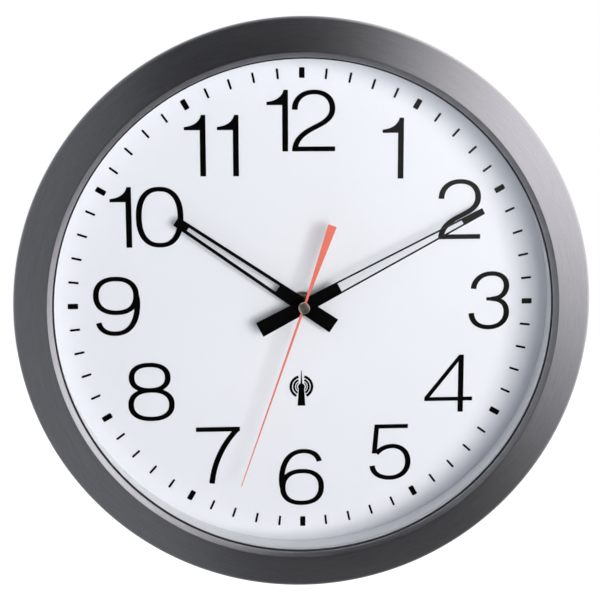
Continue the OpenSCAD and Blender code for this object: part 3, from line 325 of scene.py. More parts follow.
def soft_box(name, place, size, power, color):
    """A wide lamp that faces the hub."""
    data = bpy.data.lights.new(name, "AREA")
    data.shape = "RECTANGLE"
    data.size, data.size_y = size
    data.energy = power
    data.color = color
    lamp = in_scene(name, data)
    lamp.visible_glossy = False
    lamp.matrix_world = aimed(Vector(place), HUB)
    return lamp


lamps = [soft_box(name, **values) for name, values in LAMPS.items()]
print("lamps:", [lamp.name for lamp in lamps])

# %% [markdown]
# ## A material under construction
# Every finish starts from Finish: it reads Object coordinates, which are the frame's metres because each
# piece sits at the origin, so a noise of scale 1000 has grains of about a millimetre. A texture painted on
# an unwrapped piece would do too, but a rule needs no unwrapping and stays sharp in any close view. The
# helpers name what a finish is made of: noise(), vary() for a number that changes with it, bump() for small
# relief with its depth in millimetres, rings() for what a lathe or a brushing wheel leaves, and bands() for
# turns and sheets along a line.

# %% What every finish can do
NOISE_REACH = (0.3, 0.7)
RING_ROUGHNESS = 0.6
finishes = {}


class Finish(NodeTree):
    def __init__(self, name):
        self.material = finishes[name] = bpy.data.materials.new(name)
        super().__init__(self.material)
        self.place = self.make("ShaderNodeTexCoord", out="Object")

    def noise(self, scale, detail=2.0, rough=0.5, vector=None):
        return self.make("ShaderNodeTexNoise", sockets={
            "Vector": vector or self.place, "Scale": scale, "Detail": detail, "Roughness": rough})

    def vary(self, noise, low, high):
        """A number from low to high, which a noise reaches where it is darkest and lightest."""
        return self.spread(noise, *NOISE_REACH, low, high)

    def bump(self, height, depth, strength=1.0):
        return self.make("ShaderNodeBump", sockets={
            "Height": height, "Distance": depth * MM, "Strength": strength}, out="Normal")

    def rings(self, per_metre, turn_scale):
        """Noise in thin rings round the hub; turn_scale says how often a ring changes on its way round."""
        x, y, z = self.xyz(self.place)
        right, up = x - hub_x, z - hub_z
        radius = (right * right + up * up) ** 0.5
        vector = self.make("ShaderNodeCombineXYZ", sockets={
            0: (radius + y) * per_metre, 1: right / radius * turn_scale, 2: up / radius * turn_scale})
        return self.noise(1.0, 2.0, RING_ROUGHNESS, vector)

    def bands(self, along, pitch):
        return (along * (2 * math.pi / pitch)).wave()

    def lathe_tangent(self):
        return self.make("ShaderNodeTangent", {"direction_type": "RADIAL", "axis": "Y"})

    def done(self, **sockets):
        shader = self.make("ShaderNodeBsdfPrincipled", sockets={
            name.replace("_", " "): value for name, value in sockets.items()})
        self.make("ShaderNodeOutputMaterial", sockets={"Surface": shader})


# %% [markdown]
# ## Brushed and plated metals
# The bezel was brushed while it turned, so its scratches run round the clock and spread each highlight
# across them: from the hub outward. In the shader that is Anisotropic with a radial tangent about the
# clock's axis, turned a quarter. The scratches themselves are rings of noise that vary the colour, the
# roughness and the relief a little; modelled ones would need millions of faces. Plated steel, brass, tin and
# the magnets have a cloudy coat instead, with a fine grain.

# %% Metals
STEEL = ((0.465, 0.463, 0.50, 1), (0.655, 0.65, 0.69, 1))
CAP = ((0.62, 0.54, 0.46, 1), (0.85, 0.76, 0.66, 1))
QUARTER_TURN = 0.25
PLATED = {
    "zinc_steel": ((0.48, 0.49, 0.49, 1), (0.64, 0.65, 0.64, 1), 0.32, 260),
    "brass": ((0.50, 0.46, 0.38, 1), (0.70, 0.65, 0.56, 1), 0.38, 350),
    "tin": ((0.60, 0.59, 0.57, 1), (0.74, 0.73, 0.71, 1), 0.24, 500),
    "magnet": ((0.12, 0.12, 0.125, 1), (0.22, 0.22, 0.23, 1), 0.42, 900),
}


def spun_steel():
    f = Finish("spun_steel")
    fine, wide, specks = f.rings(1900, 14.0), f.rings(300, 3.0), f.noise(1300)
    grain = fine * 0.5 + wide * 0.2 + specks * 0.3
    f.done(Base_Color=f.blend(f.vary(grain, 0, 1), *STEEL), Metallic=1.0, Roughness=f.vary(grain, 0.28, 0.38),
           Anisotropic=0.75, Anisotropic_Rotation=QUARTER_TURN, Tangent=f.lathe_tangent(),
           Normal=f.bump(grain, 0.03, 0.4))


def spun_cap():
    f = Finish("spun_cap")
    rings = f.rings(5200, 0.6)
    f.done(Base_Color=f.blend(rings, *CAP), Metallic=1.0, Roughness=f.vary(rings, 0.30, 0.44),
           Anisotropic=0.6, Anisotropic_Rotation=QUARTER_TURN, Tangent=f.lathe_tangent(),
           Normal=f.bump(rings, 0.02, 0.4))


def plated(name, dark, light, roughness, cloud_scale):
    f = Finish(name)
    cloud, grain = f.noise(cloud_scale, 3.0), f.noise(6000, 1.0)
    f.done(Base_Color=f.blend(f.spread(cloud, 0.35, 0.65), dark, light), Metallic=1.0,
           Roughness=f.vary(cloud, roughness - 0.06, roughness + 0.08), Normal=f.bump(grain, 0.01, 0.3))


spun_steel()
spun_cap()
for name, values in PLATED.items():
    plated(name, *values)
print("metals:", list(finishes))

# %% [markdown]
# ## Plastics, ink and rubber
# Moulded plastic takes the mould's grain: a fine spark-eroded relief on the shell, an almost polished one on
# the white ring. One table holds each finish as its darker and its lighter colour, its roughness, its grains
# per metre and their depth in millimetres; slow clouds vary the sheen, as flow in the mould does. Ink and the
# hands' black are so matt that they shine less than plastic, and light enters the nylon of the wheels a
# little: such values are the same all over, so they go straight to the shader's own sockets.

# %% Plastics, ink and rubber
CLOUDS = 25
SHEEN_STEP = 0.05
MOULDED = {
    "rubber": (grey(0.012), grey(0.03), 0.72, 2500, 0.05),
    "white_plastic": ((0.90, 0.905, 0.93, 1), (0.93, 0.935, 0.955, 1), 0.42, 900, 0.01),
    "dial_ink": (grey(0.0005), grey(0.002), 0.35, 3000, 0.005),
    "shell_plastic": (grey(0.018), grey(0.032), 0.52, 1500, 0.06),
    "door_plastic": (grey(0.022), grey(0.04), 0.48, 1500, 0.06),
    "hand_black": (grey(0.0008), grey(0.0025), 0.35, 3500, 0.006),
    "hand_coral": ((0.80, 0.165, 0.115, 1), (0.88, 0.20, 0.14, 1), 0.40, 3500, 0.01),
    "nylon": ((0.70, 0.69, 0.63, 1), (0.80, 0.79, 0.74, 1), 0.38, 1200, 0.02),
    "button_plastic": (grey(0.035), grey(0.06), 0.45, 2500, 0.02),
    "ferrite": (grey(0.035), (0.06, 0.055, 0.05, 1), 0.6, 1800, 0.05),
    "chip": (grey(0.012), grey(0.02), 0.5, 5000, 0.01),
}
OWN_SOCKETS = {
    "dial_ink": {"Specular_IOR_Level": 0.08},
    "hand_black": {"Specular_IOR_Level": 0.1},
    "nylon": {"Subsurface_Weight": 0.1, "Subsurface_Radius": (0.002, 0.002, 0.0015)},
}


def moulded(name, dark, light, roughness, grains, depth):
    f = Finish(name)
    grain, cloud = f.noise(grains, 3.0, 0.6), f.noise(CLOUDS)
    f.done(Base_Color=f.blend(cloud * 0.6 + grain * 0.4, dark, light),
           Roughness=f.vary(cloud, roughness - SHEEN_STEP, roughness + SHEEN_STEP),
           Normal=f.bump(grain, depth), **OWN_SOCKETS.get(name, {}))


for name, values in MOULDED.items():
    moulded(name, *values)
print(len(MOULDED), "moulded finishes")

# %% [markdown]
# ## The painted dial
# The dial is sheet metal under a thin white coat. Paint that dried upright has a faint orange peel, far too
# shallow to see as relief in the picture, but it softens what the dial reflects.

# %% Paint the dial
WHITE_PAINT = ((0.84, 0.85, 0.90, 1), (0.875, 0.885, 0.93, 1))


def painted_dial():
    f = Finish("dial_sheet")
    peel, cloud = f.noise(700), f.noise(9)
    f.done(Base_Color=f.blend(cloud, *WHITE_PAINT), Roughness=f.vary(peel, 0.42, 0.52),
           Normal=f.bump(peel, 0.0025))


painted_dial()
print("dial paint:", WHITE_PAINT[0][:3], "to", WHITE_PAINT[1][:3])

# %% [markdown]
# ## Glass
# Cycles treats glass as a solid that bends light, so lamps can't shine straight through it and what is
# behind would stay dark. For shadow rays, and for rays that come from a dull or glossy surface behind it,
# the pane is simply transparent; the camera sees the true glass. A very weak, wide relief stands for the
# slight wave of drawn glass.

# %% Glass
GLASS_TINT = (0.985, 1.0, 0.995, 1)
GLASS_IOR = 1.5


def clear_glass():
    f = Finish("clear_glass")
    shadow, dull, glossy, bent = f.make("ShaderNodeLightPath", out=(
        "Is Shadow Ray", "Is Diffuse Ray", "Is Glossy Ray", "Is Transmission Ray"))
    glass = f.make("ShaderNodeBsdfPrincipled", sockets={
        "Base Color": GLASS_TINT, "Roughness": 0.0, "IOR": GLASS_IOR, "Transmission Weight": 1.0,
        "Normal": f.bump(f.noise(14, 1.0), 0.2, 0.3)})
    clear = f.make("ShaderNodeBsdfTransparent")
    mixed = f.make("ShaderNodeMixShader", sockets={
        0: shadow.largest(dull).largest(glossy - bent), 1: glass, 2: clear})
    f.make("ShaderNodeOutputMaterial", sockets={"Surface": mixed})


clear_glass()
print("glass bends light by", GLASS_IOR)

# %% [markdown]
# ## Windings and motor iron
# Windings show their turns as fine bands along the coil, and a motor's iron is a stack of thin stamped
# sheets. Both are a sine of the place along one direction. The coils lie along different axes, so the
# windings take the sum of two, which changes along either.

# %% Wind the coils, stack the iron
TURN_PITCH = 0.5 * MM
SHEET_PITCH = 0.35 * MM
COPPER = ((0.30, 0.08, 0.03, 1), (0.80, 0.33, 0.16, 1))
IRON = ((0.20, 0.20, 0.21, 1), (0.34, 0.34, 0.35, 1))


def winding():
    f = Finish("copper_wire")
    x, _, z = f.xyz(f.place)
    turns, tint = f.bands(x + z, TURN_PITCH), f.noise(300)
    f.done(Base_Color=f.blend(f.spread(turns, -1, 1) * 0.6 + tint * 0.4, *COPPER), Metallic=1.0,
           Roughness=f.vary(tint, 0.25, 0.4), Normal=f.bump(turns, 0.06), Coat_Weight=0.5)


def laminated():
    f = Finish("motor_iron")
    _, y, _ = f.xyz(f.place)
    cloud = f.noise(400, 3.0)
    f.done(Base_Color=f.blend(cloud, *IRON), Metallic=1.0, Roughness=f.vary(cloud, 0.38, 0.52),
           Normal=f.bump(f.bands(y, SHEET_PITCH), 0.03))


winding()
laminated()
print(f"turns {TURN_PITCH / MM} mm apart, sheets {SHEET_PITCH / MM} mm")

# %% [markdown]
# ## Board and cell
# The circuit board has copper lines under green varnish, which a brick pattern stands for. The cell has a
# plain jacket with a pale band and bare steel ends, told apart by the place along its length.

# %% The circuit board
VARNISH = ((0.012, 0.10, 0.045, 1), (0.02, 0.15, 0.07, 1))
LINES_GREEN = (0.09, 0.26, 0.10, 1)
LINES = {"Scale": 160.0, "Mortar Size": 0.05, "Mortar Smooth": 0.3, "Brick Width": 0.9, "Row Height": 0.22}
LINES_SHIFT = 0.37


def circuit():
    f = Finish("board")
    turned = f.make("ShaderNodeMapping", sockets={"Vector": f.place, "Rotation": (math.pi / 2, 0, 0)})
    lines = f.make("ShaderNodeTexBrick", {"offset": LINES_SHIFT}, {"Vector": turned, **LINES}, out="Fac")
    f.done(Base_Color=f.blend(lines, f.blend(f.noise(500), *VARNISH), LINES_GREEN), Roughness=0.35,
           Normal=f.bump(lines, 0.03), Coat_Weight=0.4)


circuit()
print("board lines", round(LINES["Row Height"] / LINES["Scale"] / MM, 2), "mm apart")

# %% The battery cell
JACKET = ((0.035, 0.05, 0.075, 1), (0.05, 0.07, 0.10, 1))
JACKET_BAND = (0.42, 0.43, 0.45, 1)
BARE_STEEL = (0.72, 0.71, 0.69, 1)
TOP_END_W = 1.6 * MM
FLAT_END_W = 0.8 * MM
BAND_W = 9 * MM


def cell():
    f = Finish("cell_jacket")
    low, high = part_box("battery_cell")
    x, _, _ = f.xyz(f.place)
    bare = x.over(high.x - TOP_END_W).largest((-1 * x).over(-low.x - FLAT_END_W))
    band = x.over(high.x - TOP_END_W - BAND_W)
    film = f.noise(900)
    jacket = f.blend(band, f.blend(film, *JACKET), JACKET_BAND)
    f.done(Base_Color=f.blend(bare, jacket, BARE_STEEL), Metallic=f.spread(bare, 0, 1, 0.35, 1.0),
           Roughness=f.vary(film, 0.26, 0.34), Normal=f.bump(film, 0.01))
    return (high.x - low.x) / MM


cell_length = cell()
print(f"cell {cell_length:.1f} mm long")

# %% [markdown]
# ## Dress the frame
# Each CAD node came in with a material named after its slot in the record. The loop puts the finish of that
# name into the nodes' own material slots; the meshes stay as they are.

# %% One finish for each slot
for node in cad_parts.values():
    for slot in node.material_slots:
        slot.material = finishes[slot.material.name.split(".")[0]]
print(len(finishes), "finishes on", len(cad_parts), "nodes")

# %% [markdown]
# ## Drawing strokes on the dial
# The numerals are plain strokes of nearly even width: 3.6 mm where a stroke stands upright and a little
# less where it lies flat, which keeps the eye from seeing the flat ones as heavier. A font would bring its
# own shapes, so each digit is drawn as its middle lines, made of Bezier curves and ovals, and stroke()
# widens a line by its direction.

# %% Curves and ovals
CURVE_STEPS = 24
FULLER = 2.3


def angles(start, end, steps):
    """Evenly spaced angles from one in degrees to another, both included, in radians."""
    return [math.radians(start + (end - start) * i / steps) for i in range(steps + 1)]


def points_of(pairs):
    return [Vector(pair) for pair in pairs]


def curve(start, pull_a, pull_b, end):
    """Points of a Bezier curve, both ends included."""
    points = []
    for i in range(CURVE_STEPS + 1):
        t = i / CURVE_STEPS
        weights = ((1 - t) ** 3, 3 * t * (1 - t) ** 2, 3 * t * t * (1 - t), t ** 3)
        points.append(sum((w * Vector(p) for w, p in zip(weights, (start, pull_a, pull_b, end))), Vector((0, 0))))
    return points


def joined(*parts):
    """One line from several, each starting where the last one ended."""
    line = [Vector(parts[0][0])]
    for part in parts:
        line += points_of(part[1:])
    return line


def oval(middle, radius, start, end, fullness=FULLER):
    """Part of an oval from one angle to another; at a fullness over 2 its sides are fuller than an ellipse's."""
    points = []
    for angle in angles(start, end, CURVE_STEPS * 2):
        c, s = math.cos(angle), math.sin(angle)
        x = math.copysign(abs(c) ** (2 / fullness), c) * radius[0]
        y = math.copysign(abs(s) ** (2 / fullness), s) * radius[1]
        points.append(Vector((middle[0] + x, middle[1] + y)))
    return points


print("a curve has", len(curve((0, 0), (0, 1), (1, 1), (1, 0))), "points")

# %% Widened strokes and bars
UPRIGHT_W = 3.6
FLAT_W = 2.85


def stroke(line, upright=UPRIGHT_W, flat=FLAT_W):
    """The outline of a line that is widened to each side, by an amount that depends on its direction."""
    left, right = [], []
    for i, point in enumerate(line):
        along = (line[min(i + 1, len(line) - 1)] - line[max(i - 1, 0)]).normalized()
        half = math.hypot(upright * along.y, flat * along.x) / 2
        side = Vector((-along.y, along.x)) * half
        left.append(point + side)
        right.append(point - side)
    return right + left[::-1]


def bar(x0, y0, x1, y1):
    """The outline of an upright rectangle."""
    return points_of(((x0, y0), (x1, y0), (x1, y1), (x0, y1)))


print("an upright stroke is", UPRIGHT_W, "mm wide, a flat one", FLAT_W)

# %% [markdown]
# ## From outlines to a printed layer
# Strokes that cross could be joined by a boolean, but a boolean on thin solids fails easily.
# delaunay_2d_cdt takes overlapping outlines and cuts the plane into triangles; those that lie in any outline
# are the shape. printed() lifts them by the thickness of the ink film and closes the sides, so the result is
# a proper solid with its faces outward. Its place is put into the mesh, so the object stays at the origin.

# %% Print outlines on the dial
INK_T = 0.25
SAME_POINT = 1e-5
SAME_PLANE = math.radians(0.2)


def add_piece(name, mesh, body):
    piece = in_scene(name, mesh)
    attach(piece, body)
    return piece


def area(outline):
    return sum(a.cross(b) for a, b in zip(outline, outline[1:] + outline[:1])) / 2


def flat_shape(outlines):
    """The points and triangles of the plane that lie in any of the outlines, and the edges of its rim."""
    points, loops = [], []
    for outline in outlines:
        ring = outline if area(outline) > 0 else outline[::-1]
        loops.append(list(range(len(points), len(points) + len(ring))))
        points += ring
    flat, _, faces, _, _, inside = delaunay_2d_cdt(points, [], loops, 0, SAME_POINT)
    faces = [list(face) for face, owners in zip(faces, inside) if owners]
    edges = {(a, b): None for face in faces for a, b in zip(face, face[1:] + face[:1])}
    return flat, faces, [(a, b) for (a, b) in edges if (b, a) not in edges]


def printed(name, outlines):
    flat, faces, rim = flat_shape(outlines)
    bm = bmesh.new()
    low = [bm.verts.new((p.x, p.y, 0)) for p in flat]
    high = [bm.verts.new((p.x, p.y, INK_T)) for p in flat]
    for face in faces:
        bm.faces.new([high[i] for i in face])
        bm.faces.new([low[i] for i in reversed(face)])
    for a, b in rim:
        bm.faces.new((low[a], low[b], high[b], high[a]))
    bmesh.ops.delete(bm, geom=[v for v in bm.verts if not v.link_faces], context="VERTS")
    bmesh.ops.dissolve_limit(bm, angle_limit=SAME_PLANE, verts=bm.verts, edges=bm.edges)
    mesh = bpy.data.meshes.new(name)
    bm.to_mesh(mesh)
    bm.free()
    mesh.transform(STAND)
    mesh.materials.append(finishes["dial_ink"])
    return add_piece(name, mesh, "case")


print("ink is", INK_T, "mm thick")

# %% [markdown]
# ## The digits
# Each function gives the outlines of one digit on a grid of millimetres, with its foot at zero and a height
# of 38. The figures are drawn for this clock from simple parts: an upright is a bar, a bowl is a curve, and
# nine is six turned round.

# %% One to five
DIGIT_H = 38


def one():
    flag = curve((0, 30.6), (5.6, 31.2), (9.6, 33.4), (10.7, DIGIT_H))
    return [joined(flag, [flag[-1], (13.4, DIGIT_H), (13.4, 0), (9.8, 0), (9.8, 28.6), (0, 28.6)])]


def two():
    line = joined(curve((1.9, 25.7), (1.9, 32.4), (6.8, 36.6), (13.9, 36.6)),
                  curve((13.9, 36.6), (21.0, 36.6), (25.4, 32.6), (25.4, 26.6)),
                  curve((25.4, 26.6), (25.4, 20.6), (20.5, 17.9), (14.6, 15.0)),
                  curve((14.6, 15.0), (7.6, 11.5), (2.2, 8.0), (1.9, 0)))
    return [stroke(line), bar(0.4, 0, 27.2, 3.0)]


def three():
    top = joined(curve((2.9, 26.6), (3.3, 32.3), (7.8, 36.5), (14.6, 36.5)),
                 curve((14.6, 36.5), (20.4, 36.5), (24.3, 33.4), (24.3, 28.5)),
                 curve((24.3, 28.5), (24.3, 23.6), (20.7, 20.0), (14.5, 20.0)))
    low = joined(curve((14.5, 20.0), (21.2, 20.0), (24.6, 16.5), (24.6, 11.3)),
                 curve((24.6, 11.3), (24.6, 5.4), (19.9, 1.5), (13.2, 1.5)),
                 curve((13.2, 1.5), (6.4, 1.5), (2.2, 4.9), (1.8, 10.8)))
    return [stroke(top), stroke(low), bar(11.4, 18.9, 17, 21.1)]


def four():
    slope = points_of(((0, 7.5), (0, 10.0), (22.4, DIGIT_H), (25.4, DIGIT_H), (25.4, 33), (21.9, 33.4),
                       (3.4, 10.0), (3.4, 7.5)))
    return [slope, bar(0, 7.5, 31.4, 10.0), bar(21.9, 0, 25.4, DIGIT_H)]


def five():
    bowl = joined(curve((3.9, 17.3), (6.9, 21.0), (10.6, 22.9), (15.0, 22.9)),
                  curve((15.0, 22.9), (21.3, 22.9), (25.4, 18.6), (25.4, 12.2)),
                  curve((25.4, 12.2), (25.4, 5.6), (20.4, 1.5), (13.5, 1.5)),
                  curve((13.5, 1.5), (6.8, 1.5), (2.5, 4.7), (1.9, 9.8)))
    back = points_of(((3.4, 37.6), (6.4, 37.6), (5.0, 19.6), (4.9, 18.1), (1.6, 18.1)))
    return [stroke(bowl[2:]), back, bar(3.4, 34.9, 25.2, 37.6)]


print("one to five:", [len(digit()) for digit in (one, two, three, four, five)], "outlines")

# %% Six to nine, and zero
HALVES_START = (-10, 170)
HALF_AND_LAP = 200


def ring(middle, radius, fullness=FULLER):
    """A closed oval stroke, as two halves that lap over each other."""
    return [stroke(oval(middle, radius, start, start + HALF_AND_LAP, fullness)) for start in HALVES_START]


def six():
    back = joined(curve((26.4, 29.6), (25.4, 34.3), (21.4, 36.6), (16.0, 36.6)),
                  curve((16.0, 36.6), (6.6, 36.6), (1.8, 28.6), (1.8, 17.0)),
                  curve((1.8, 17.0), (1.8, 15.0), (2.0, 13.6), (2.6, 11.6)))
    return [stroke(back)] + ring((15.1, 12.3), (12.6, 10.8))


def seven():
    leg = curve((26.5, 36.0), (18.2, 27.4), (11.4, 15.0), (9.9, 0))
    return [stroke(leg), bar(0, 34.8, 28.4, DIGIT_H - 0.2)]


def eight():
    return ring((14.0, 28.6), (11.5, 8.3)) + ring((14.8, 10.8), (13.0, 9.4))


def nine():
    width = 29.6
    return [[Vector((width, DIGIT_H)) - p for p in outline] for outline in six()]


def zero():
    return ring((14.8, 19.0), (13.0, 17.6), fullness=2.35)


print("six to zero:", [len(digit()) for digit in (six, seven, eight, nine, zero)], "outlines")

# %% [markdown]
# ## The numerals on the dial
# A numeral is one digit or two, and it is set by the middle of its own box, so that a wide ten and a narrow
# one look equally far from the marks. The places follow the photograph, where they are a little off a true
# circle. Ten, eleven and twelve have their own gaps, as a printer would set them.

# %% Set the numerals
DIGITS = {"0": zero, "1": one, "2": two, "3": three, "4": four, "5": five, "6": six, "7": seven, "8": eight,
          "9": nine}
GAPS = {"10": 2.7, "11": 7.1, "12": 2.4}
PLACES = {12: (-0.6, 115.5), 1: (57.3, 98.2), 2: (100.2, 59.5), 3: (120.5, 0.6), 4: (95.1, -53.8),
          5: (57.3, -99.2), 6: (-0.8, -114.9), 7: (-54.8, -99.2), 8: (-97.1, -56.2), 9: (-117.5, -0.3),
          10: (-97.4, 56.0), 11: (-56.4, 100.3)}


def moved(outlines, right, up):
    return [[p + Vector((right, up)) for p in outline] for outline in outlines]


def span(outlines, axis):
    values = [p[axis] for outline in outlines for p in outline]
    return min(values), max(values)


def numeral(text):
    outlines, edge = [], 0
    for digit in text:
        shape = DIGITS[digit]()
        low, high = span(shape, 0)
        outlines += moved(shape, edge - low, 0)
        edge += high - low + GAPS.get(text, 0)
    (x0, x1), (y0, y1) = span(outlines, 0), span(outlines, 1)
    return moved(outlines, -(x0 + x1) / 2, -(y0 + y1) / 2)


numerals = [printed(f"numeral_{hour}", moved(numeral(str(hour)), *place)) for hour, place in PLACES.items()]
print(len(numerals), "numerals,", sum(len(n.data.polygons) for n in numerals), "faces")

# %% [markdown]
# ## The pictogram of a radio mast
# A small sign says that the clock sets itself by radio: a ball on a tapering tower, a spire above it, and
# waves to both sides. The waves are arcs about the ball, open at the top and the bottom. Each is given by
# its radius, its width and the angles above the level at which it starts and ends.

# %% Draw the radio mast
MAST_AT = (-0.7, -54.3)
BALL_R = 2.15
TOWER = ((-1.65, 0), (-2.5, -12.6), (2.5, -12.6), (1.65, 0))
SPIRE = ((-0.7, 0), (0.7, 0), (0.2, 10.6), (-0.2, 10.6))
WAVES = ((6.85, 1.65, -62, 74), (4.75, 1.3, -58, 67), (3.2, 0.6, -42, 54))


def wave_arc(radius, width, start, end, side):
    """An arc to one side of the ball."""
    line = [Vector((side * radius * math.cos(a), radius * math.sin(a))) for a in angles(start, end, CURVE_STEPS)]
    return stroke(line, width, width)


mast = [oval((0, 0), (BALL_R, BALL_R), 0, 358, fullness=2), points_of(TOWER), points_of(SPIRE)]
mast += [wave_arc(*values, side) for values in WAVES for side in (-1, 1)]
pictogram = printed("signal_pictogram", moved(mast, *MAST_AT))
print("pictogram:", len(pictogram.data.polygons), "faces")

# %% [markdown]
# ## The spun bezel
# On the real clock the bezel is a disc of steel, pressed over a turning form until it has its folded lip, the
# short slope up to the crest, the sloping face, the rounded corner and the side. Its outline is the same all
# the way round. The frame's own bezel has that form too, but light on brushed metal shows every facet, so a
# finer one replaces it, with a lip that is a little narrower. The outline is three arcs, a fold, a crest and
# a corner, placed so that straight parts run from one to the next without a kink.

# %% Outline of the bezel, as radius and height above the dial
BEZEL = {"sheet": 1.0, "width": 24.2, "lip_depth": 3.15, "fold": 0.7, "curl": 225.0, "slope": 38.0, "crest": 0.7,
         "tilt": 16.0, "corner": 3.0}
LIP_GAP = 0.1


def arc(middle, radius, start, end, steps):
    """Points on an arc, both ends included."""
    return [(middle[0] + radius * math.cos(a), middle[1] + radius * math.sin(a)) for a in angles(start, end, steps)]


def bezel_outline(sheet, width, lip_depth, fold, curl, slope, crest, tilt, corner):
    slant, lean = math.radians(slope), math.radians(tilt)
    fold_at = (clock_r - width + fold, lip_h - lip_depth + LIP_GAP + fold * math.sin(math.radians(curl - 180)))
    crest_h = lip_h - crest
    rise = crest_h - fold_at[1] + (crest - fold) / math.cos(slant)
    crest_at = (fold_at[0] + rise / math.tan(slant), crest_h)
    corner_x = clock_r - corner
    run_out = corner_x - crest_at[0] + (corner - crest) * math.sin(lean)
    corner_at = (corner_x, crest_h + (crest - corner) * math.cos(lean) - run_out * math.tan(lean))
    outer = (arc(fold_at, fold, curl, 90 + slope, 14) + arc(crest_at, crest, 90 + slope, 90 - tilt, 8)
             + arc(corner_at, corner, 90 - tilt, 0, 12) + [(clock_r, bezel_edge_h)])
    under_crest = (crest_at[0] + sheet * 0.5, lip_h - sheet * 1.2)
    under_fold = (fold_at[0] + fold * 0.4, fold_at[1] - fold * 0.6)
    inner = ([(clock_r - sheet, bezel_edge_h)] + arc(corner_at, corner - sheet, 0, 90 - tilt, 8)
             + [under_crest, under_fold])
    return outer + inner


bezel_line = bezel_outline(**BEZEL)
print("bezel outline:", len(bezel_line), "points")

# %% [markdown]
# ## Spinning an outline with Geometry Nodes
# A Screw modifier could turn the outline, but a Geometry Nodes tree serves for every ring and shades it as
# well. It sweeps the outline round a circle: 360 steps keep the rim truly round in a close view. Edges
# sharper than the crease angle stay crisp, the rest is smooth. The tree's inputs have names, and a modifier
# is given their values by identifier; then its result is kept as a plain mesh.

# %% A Geometry Nodes tree that spins an outline
INPUTS = {"Outline": "Geometry", "Path radius": "Float", "Steps": "Int", "Crease": "Float", "Finish": "Material"}


def spin_tree():
    tree = bpy.data.node_groups.new("spin_outline", "GeometryNodeTree")
    for name, kind in INPUTS.items():
        tree.interface.new_socket(name, in_out="INPUT", socket_type=f"NodeSocket{kind}")
    tree.interface.new_socket("Result", in_out="OUTPUT", socket_type="NodeSocketGeometry")
    add, link = tree.nodes.new, tree.links.new
    given, result = add("NodeGroupInput"), add("NodeGroupOutput")
    circle, sweep = add("GeometryNodeCurvePrimitiveCircle"), add("GeometryNodeCurveToMesh")
    edge, sharp = add("GeometryNodeInputMeshEdgeAngle"), add("FunctionNodeCompare")
    round_all, keep_crisp = add("GeometryNodeSetShadeSmooth"), add("GeometryNodeSetShadeSmooth")
    real, paint = add("GeometryNodeRealizeInstances"), add("GeometryNodeSetMaterial")
    keep_crisp.domain = "EDGE"
    keep_crisp.inputs["Shade Smooth"].default_value = False
    for source, target in (
            (given.outputs["Path radius"], circle.inputs["Radius"]),
            (given.outputs["Steps"], circle.inputs["Resolution"]),
            (circle.outputs["Curve"], sweep.inputs["Curve"]),
            (given.outputs["Outline"], sweep.inputs["Profile Curve"]),
            (sweep.outputs["Mesh"], round_all.inputs["Geometry"]),
            (round_all.outputs[0], keep_crisp.inputs["Geometry"]),
            (edge.outputs["Unsigned Angle"], sharp.inputs["A"]),
            (given.outputs["Crease"], sharp.inputs["B"]),
            (sharp.outputs[0], keep_crisp.inputs["Selection"]),
            (keep_crisp.outputs[0], real.inputs["Geometry"]),
            (real.outputs[0], paint.inputs["Geometry"]),
            (given.outputs["Finish"], paint.inputs["Material"]),
            (paint.outputs[0], result.inputs["Result"])):
        link(source, target)
    return tree


spin = spin_tree()
print("spin tree:", len(spin.nodes), "nodes")

# %% Spin the bezel
STEPS_ROUND = 360
CREASE = math.radians(28)


def outline_curve(name, points):
    data = bpy.data.curves.new(name, "CURVE")
    data.dimensions = "3D"
    spline = data.splines.new("POLY")
    spline.points.add(len(points) - 1)
    for point, (x, y) in zip(spline.points, points):
        point.co = (x, y, 0, 1)
    spline.use_cyclic_u = True
    return in_scene(name, data)


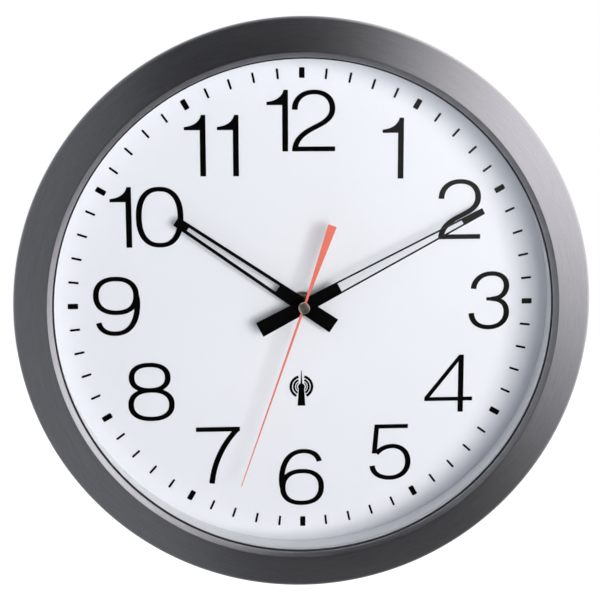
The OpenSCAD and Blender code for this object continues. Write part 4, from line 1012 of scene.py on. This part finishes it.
def run_tree(holder, tree, values):
    """The mesh that a tree makes of holder, with its named inputs set by their identifiers."""
    modifier = holder.modifiers.new("nodes", "NODES")
    modifier.node_group = tree
    for item in tree.interface.items_tree:
        if item.in_out == "INPUT" and item.name in values:
            modifier[item.identifier] = values[item.name]
    bpy.context.view_layer.update()
    graph = bpy.context.evaluated_depsgraph_get()
    mesh = bpy.data.meshes.new_from_object(holder.evaluated_get(graph))
    bpy.data.objects.remove(holder)
    return mesh


def spun(name, outline, slot):
    middle = sum(r for r, h in outline) / len(outline)
    holder = outline_curve(name + "_outline", [(r - middle, -h) for r, h in outline])
    mesh = run_tree(holder, spin, {"Path radius": middle, "Steps": STEPS_ROUND, "Crease": CREASE,
                                   "Finish": finishes[slot]})
    bm = bmesh.new()
    bm.from_mesh(mesh)
    bmesh.ops.recalc_face_normals(bm, faces=bm.faces)
    bm.to_mesh(mesh)
    bm.free()
    mesh.transform(STAND)
    mesh.name = name
    return add_piece(name, mesh, "case")


spun_bezel = spun("spun_bezel", bezel_line, "spun_steel")
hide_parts("bezel")
print("bezel:", len(spun_bezel.data.polygons), "faces")

# %% [markdown]
# ## The rubber line round the glass
# A channel of black rubber grips the glass all round, and its front lip shows as a thin black line inside the
# bezel. It is a ring too, so the same tree spins it, with a slot for the glass in its outline and the visible
# lip rounded as rubber is. The heights and the outer radius come from the frame's own channel and glass.

# %% Spin the channel
LINE_R = 152.4
BACK_LIP_R = 153.7
LIP_ROUND = 0.45


def heights(name):
    """The back and the front of a piece, in millimetres out from the dial."""
    low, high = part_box(name)
    return (face_y - high.y) / MM, (face_y - low.y) / MM


def channel_outline():
    low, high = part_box("lens_channel")
    rim, slot = (high.x - low.x) / 2 / MM, (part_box("lens")[1].x - hub_x) / MM
    (back, front), (glass_back, glass_front) = heights("lens_channel"), heights("lens")
    rounded = arc((LINE_R + LIP_ROUND, front - LIP_ROUND), LIP_ROUND, 180, 90, 5)
    return [(rim, front), (rim, back), (BACK_LIP_R, back), (BACK_LIP_R, glass_back), (slot, glass_back),
            (slot, glass_front), (LINE_R, glass_front)] + rounded


spun_channel = spun("spun_channel", channel_outline(), "rubber")
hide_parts("lens_channel")
print("channel:", len(spun_channel.data.polygons), "faces")
